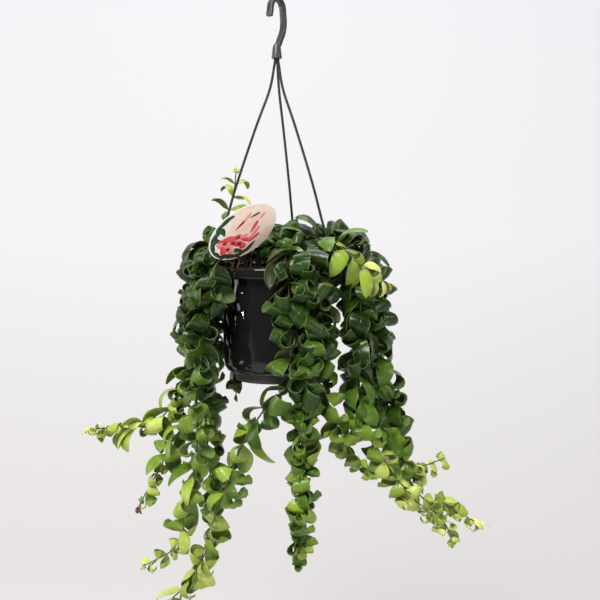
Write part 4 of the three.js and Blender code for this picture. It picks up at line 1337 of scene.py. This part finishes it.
relief_feeds = {"Strength": 0.35, "Distance": 0.001, "Height": swell}
feed(tree, shader, {
    "IOR": 1.46,
    "Specular IOR Level": 0.4,
    "Base Color": mixed(tree, mark(tree, "blush"), blade, LEAF_BLUSH),
    "Roughness": wired(tree, "MapRange", sheen_feeds, "Result"),
    "Normal": wired(tree, "Bump", relief_feeds, "Normal"),
})
masters = [rolled_leaf(f"leaf_roll_{i}", *roll) for i, roll in enumerate(ROLLS)]
for master in masters:
    master.data.materials.append(leaf_wax)

stem_bark, tree, shader = new_finish("stem_bark")
bark = mixed(tree, mark(tree, "tone"), (0.05, 0.028, 0.018, 1), (0.1, 0.13, 0.03, 1))
fleck_feeds = {"Vector": wired(tree, "TexCoord", {}, "Object"), "Scale": 420}
flecks = wired(tree, "TexNoise", fleck_feeds, "Fac")
feed(tree, shader, {
    "Roughness": 0.55,
    "Base Color": mixed(tree, faint(tree, flecks, 0.5), bark, (0.1, 0.06, 0.035, 1)),
    "Normal": wired(tree, "Bump", {"Distance": 0.0003, "Height": flecks}, "Normal"),
})

# Each stem is a slim rod that thins towards its tip, and its leaves are joined to it. They are dark
# by the pot, partly as painted shade where the dense leaves shade each other, and paler lower down
# and farther out, and a tuft of small leaves ends each stem.

LEAF_TONE = 0.14
TONE_SPREAD = 0.34
PALE_BELOW_Z = -370
PALE_DROP = 235
PALE_FROM_R = 115
PALE_REACH = 110
PALE_GAIN = 0.5
LIME_BEND = 1.2
TONE_SEED = 5000
TONE_SEED_STEP = 91
TUFT_LEAVES = 6
TUFT_TURN = 97
TUFT_TURN_SPREAD = 30
TUFT_LEAN = 42
TUFT_LEAN_SPREAD = 34
TUFT_TWIST = 0.6
TUFT_LEAST = 9
TUFT_SPREAD = 6
TUFT_SLIM = 0.7
FOOT_SHARE = 1.05
TAPER = 0.45
GREEN_FROM = 0.55


def leaf_copy(leaf, tone, blush, slim):
    """One leaf set in its place, with its own mesh, tone and blush, and slimmer where asked."""
    master = masters[ROLLS.index(leaf["roll"])]
    made = master.copy()
    made.data = master.data.copy()
    bpy.context.scene.collection.objects.link(made)
    axes = np.array([leaf["out"], leaf["aside"] * slim, leaf["face"]]) * leaf["length"] * MM
    pose = Matrix(axes.T.tolist()).to_4x4()
    pose.translation = Vector(leaf["foot"].tolist()) * MM
    made.matrix_world = pose
    count = len(made.data.vertices)
    mark_points(made.data, "tone", [tone] * count)
    mark_points(made.data, "blush", [blush] * count)
    return made


def tone_at(stem, age, place):
    """Dark by the pot, partly as painted shade where the dense leaves shade each other, paler lower
    down and farther out, and lime towards the growing tip.
    """
    lime_from, lime_tip, _ = stem.lime
    down = min(1, max(0, (PALE_BELOW_Z - place[2]) / PALE_DROP))
    out = min(1, max(0, (math.hypot(place[0], place[1]) - PALE_FROM_R) / PALE_REACH))
    # The dark tone by the pot is partly painted shade, for the shade among the dense leaves; the rest
    # is the leaves' own colour.
    tone_by_place_and_shade = LEAF_TONE + PALE_GAIN * max(down, out)
    young = max(0, (age - lime_from) / (1 - lime_from + 0.01)) ** LIME_BEND
    return tone_by_place_and_shade + (lime_tip - tone_by_place_and_shade) * young


def tuft(stem, station, draw):
    """The small new leaves at a stem's tip, turned about it one after the other."""
    _, lime_tip, tip_blush = stem.lime
    for i in range(TUFT_LEAVES):
        wish = {
            "angle": math.radians(TUFT_TURN * i + TUFT_TURN_SPREAD * next(draw)),
            "lean": math.radians(TUFT_LEAN + TUFT_LEAN_SPREAD * next(draw)),
            "twist": TUFT_TWIST * (next(draw) - 0.5),
            "length": TUFT_LEAST + TUFT_SPREAD * next(draw),
            "roll": ROLLS[TIGHT_ROLLS + i % 2],
        }
        leaf = pose_leaf(station, wish, 0, 0, 1)
        yield leaf_copy(leaf, lime_tip, tip_blush * (0.6 + 0.4 * next(draw)), TUFT_SLIM)


for owner, (name, stem) in enumerate(STEMS.items()):
    line = lines[owner]
    draw = drawer(TONE_SEED + TONE_SEED_STEP * owner)
    copies = []
    for leaf in leaves:
        if leaf["owner"] == owner:
            tone = tone_at(stem, leaf["age"], leaf["foot"]) + TONE_SPREAD * (next(draw) - 0.5)
            copies.append(leaf_copy(leaf, tone, 0.0, stem.slim))
    copies += tuft(stem, line[-1][:4], draw)

    shares = [station[4] / line[-1][4] for station in line[::2]]
    places = [tuple(station[0]) for station in line[::2]]
    radii = [STEM_R * (FOOT_SHARE - TAPER * share) for share in shares]
    greens = [max(0, (share - GREEN_FROM) / (1 - GREEN_FROM)) for share in shares]
    spray = rod(name.replace("stem", "spray"), places, radii, 8)
    centres = np.array(places) * MM
    nearest = [
        np.linalg.norm(centres - np.array(vertex.co), axis=1).argmin()
        for vertex in spray.data.vertices
    ]
    mark_points(spray.data, "tone", [greens[i] for i in nearest])
    spray.data.materials.append(stem_bark)
    join_onto(spray, copies)
    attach(spray, "root")
    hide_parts(name)

for master in masters:
    bpy.data.objects.remove(master)
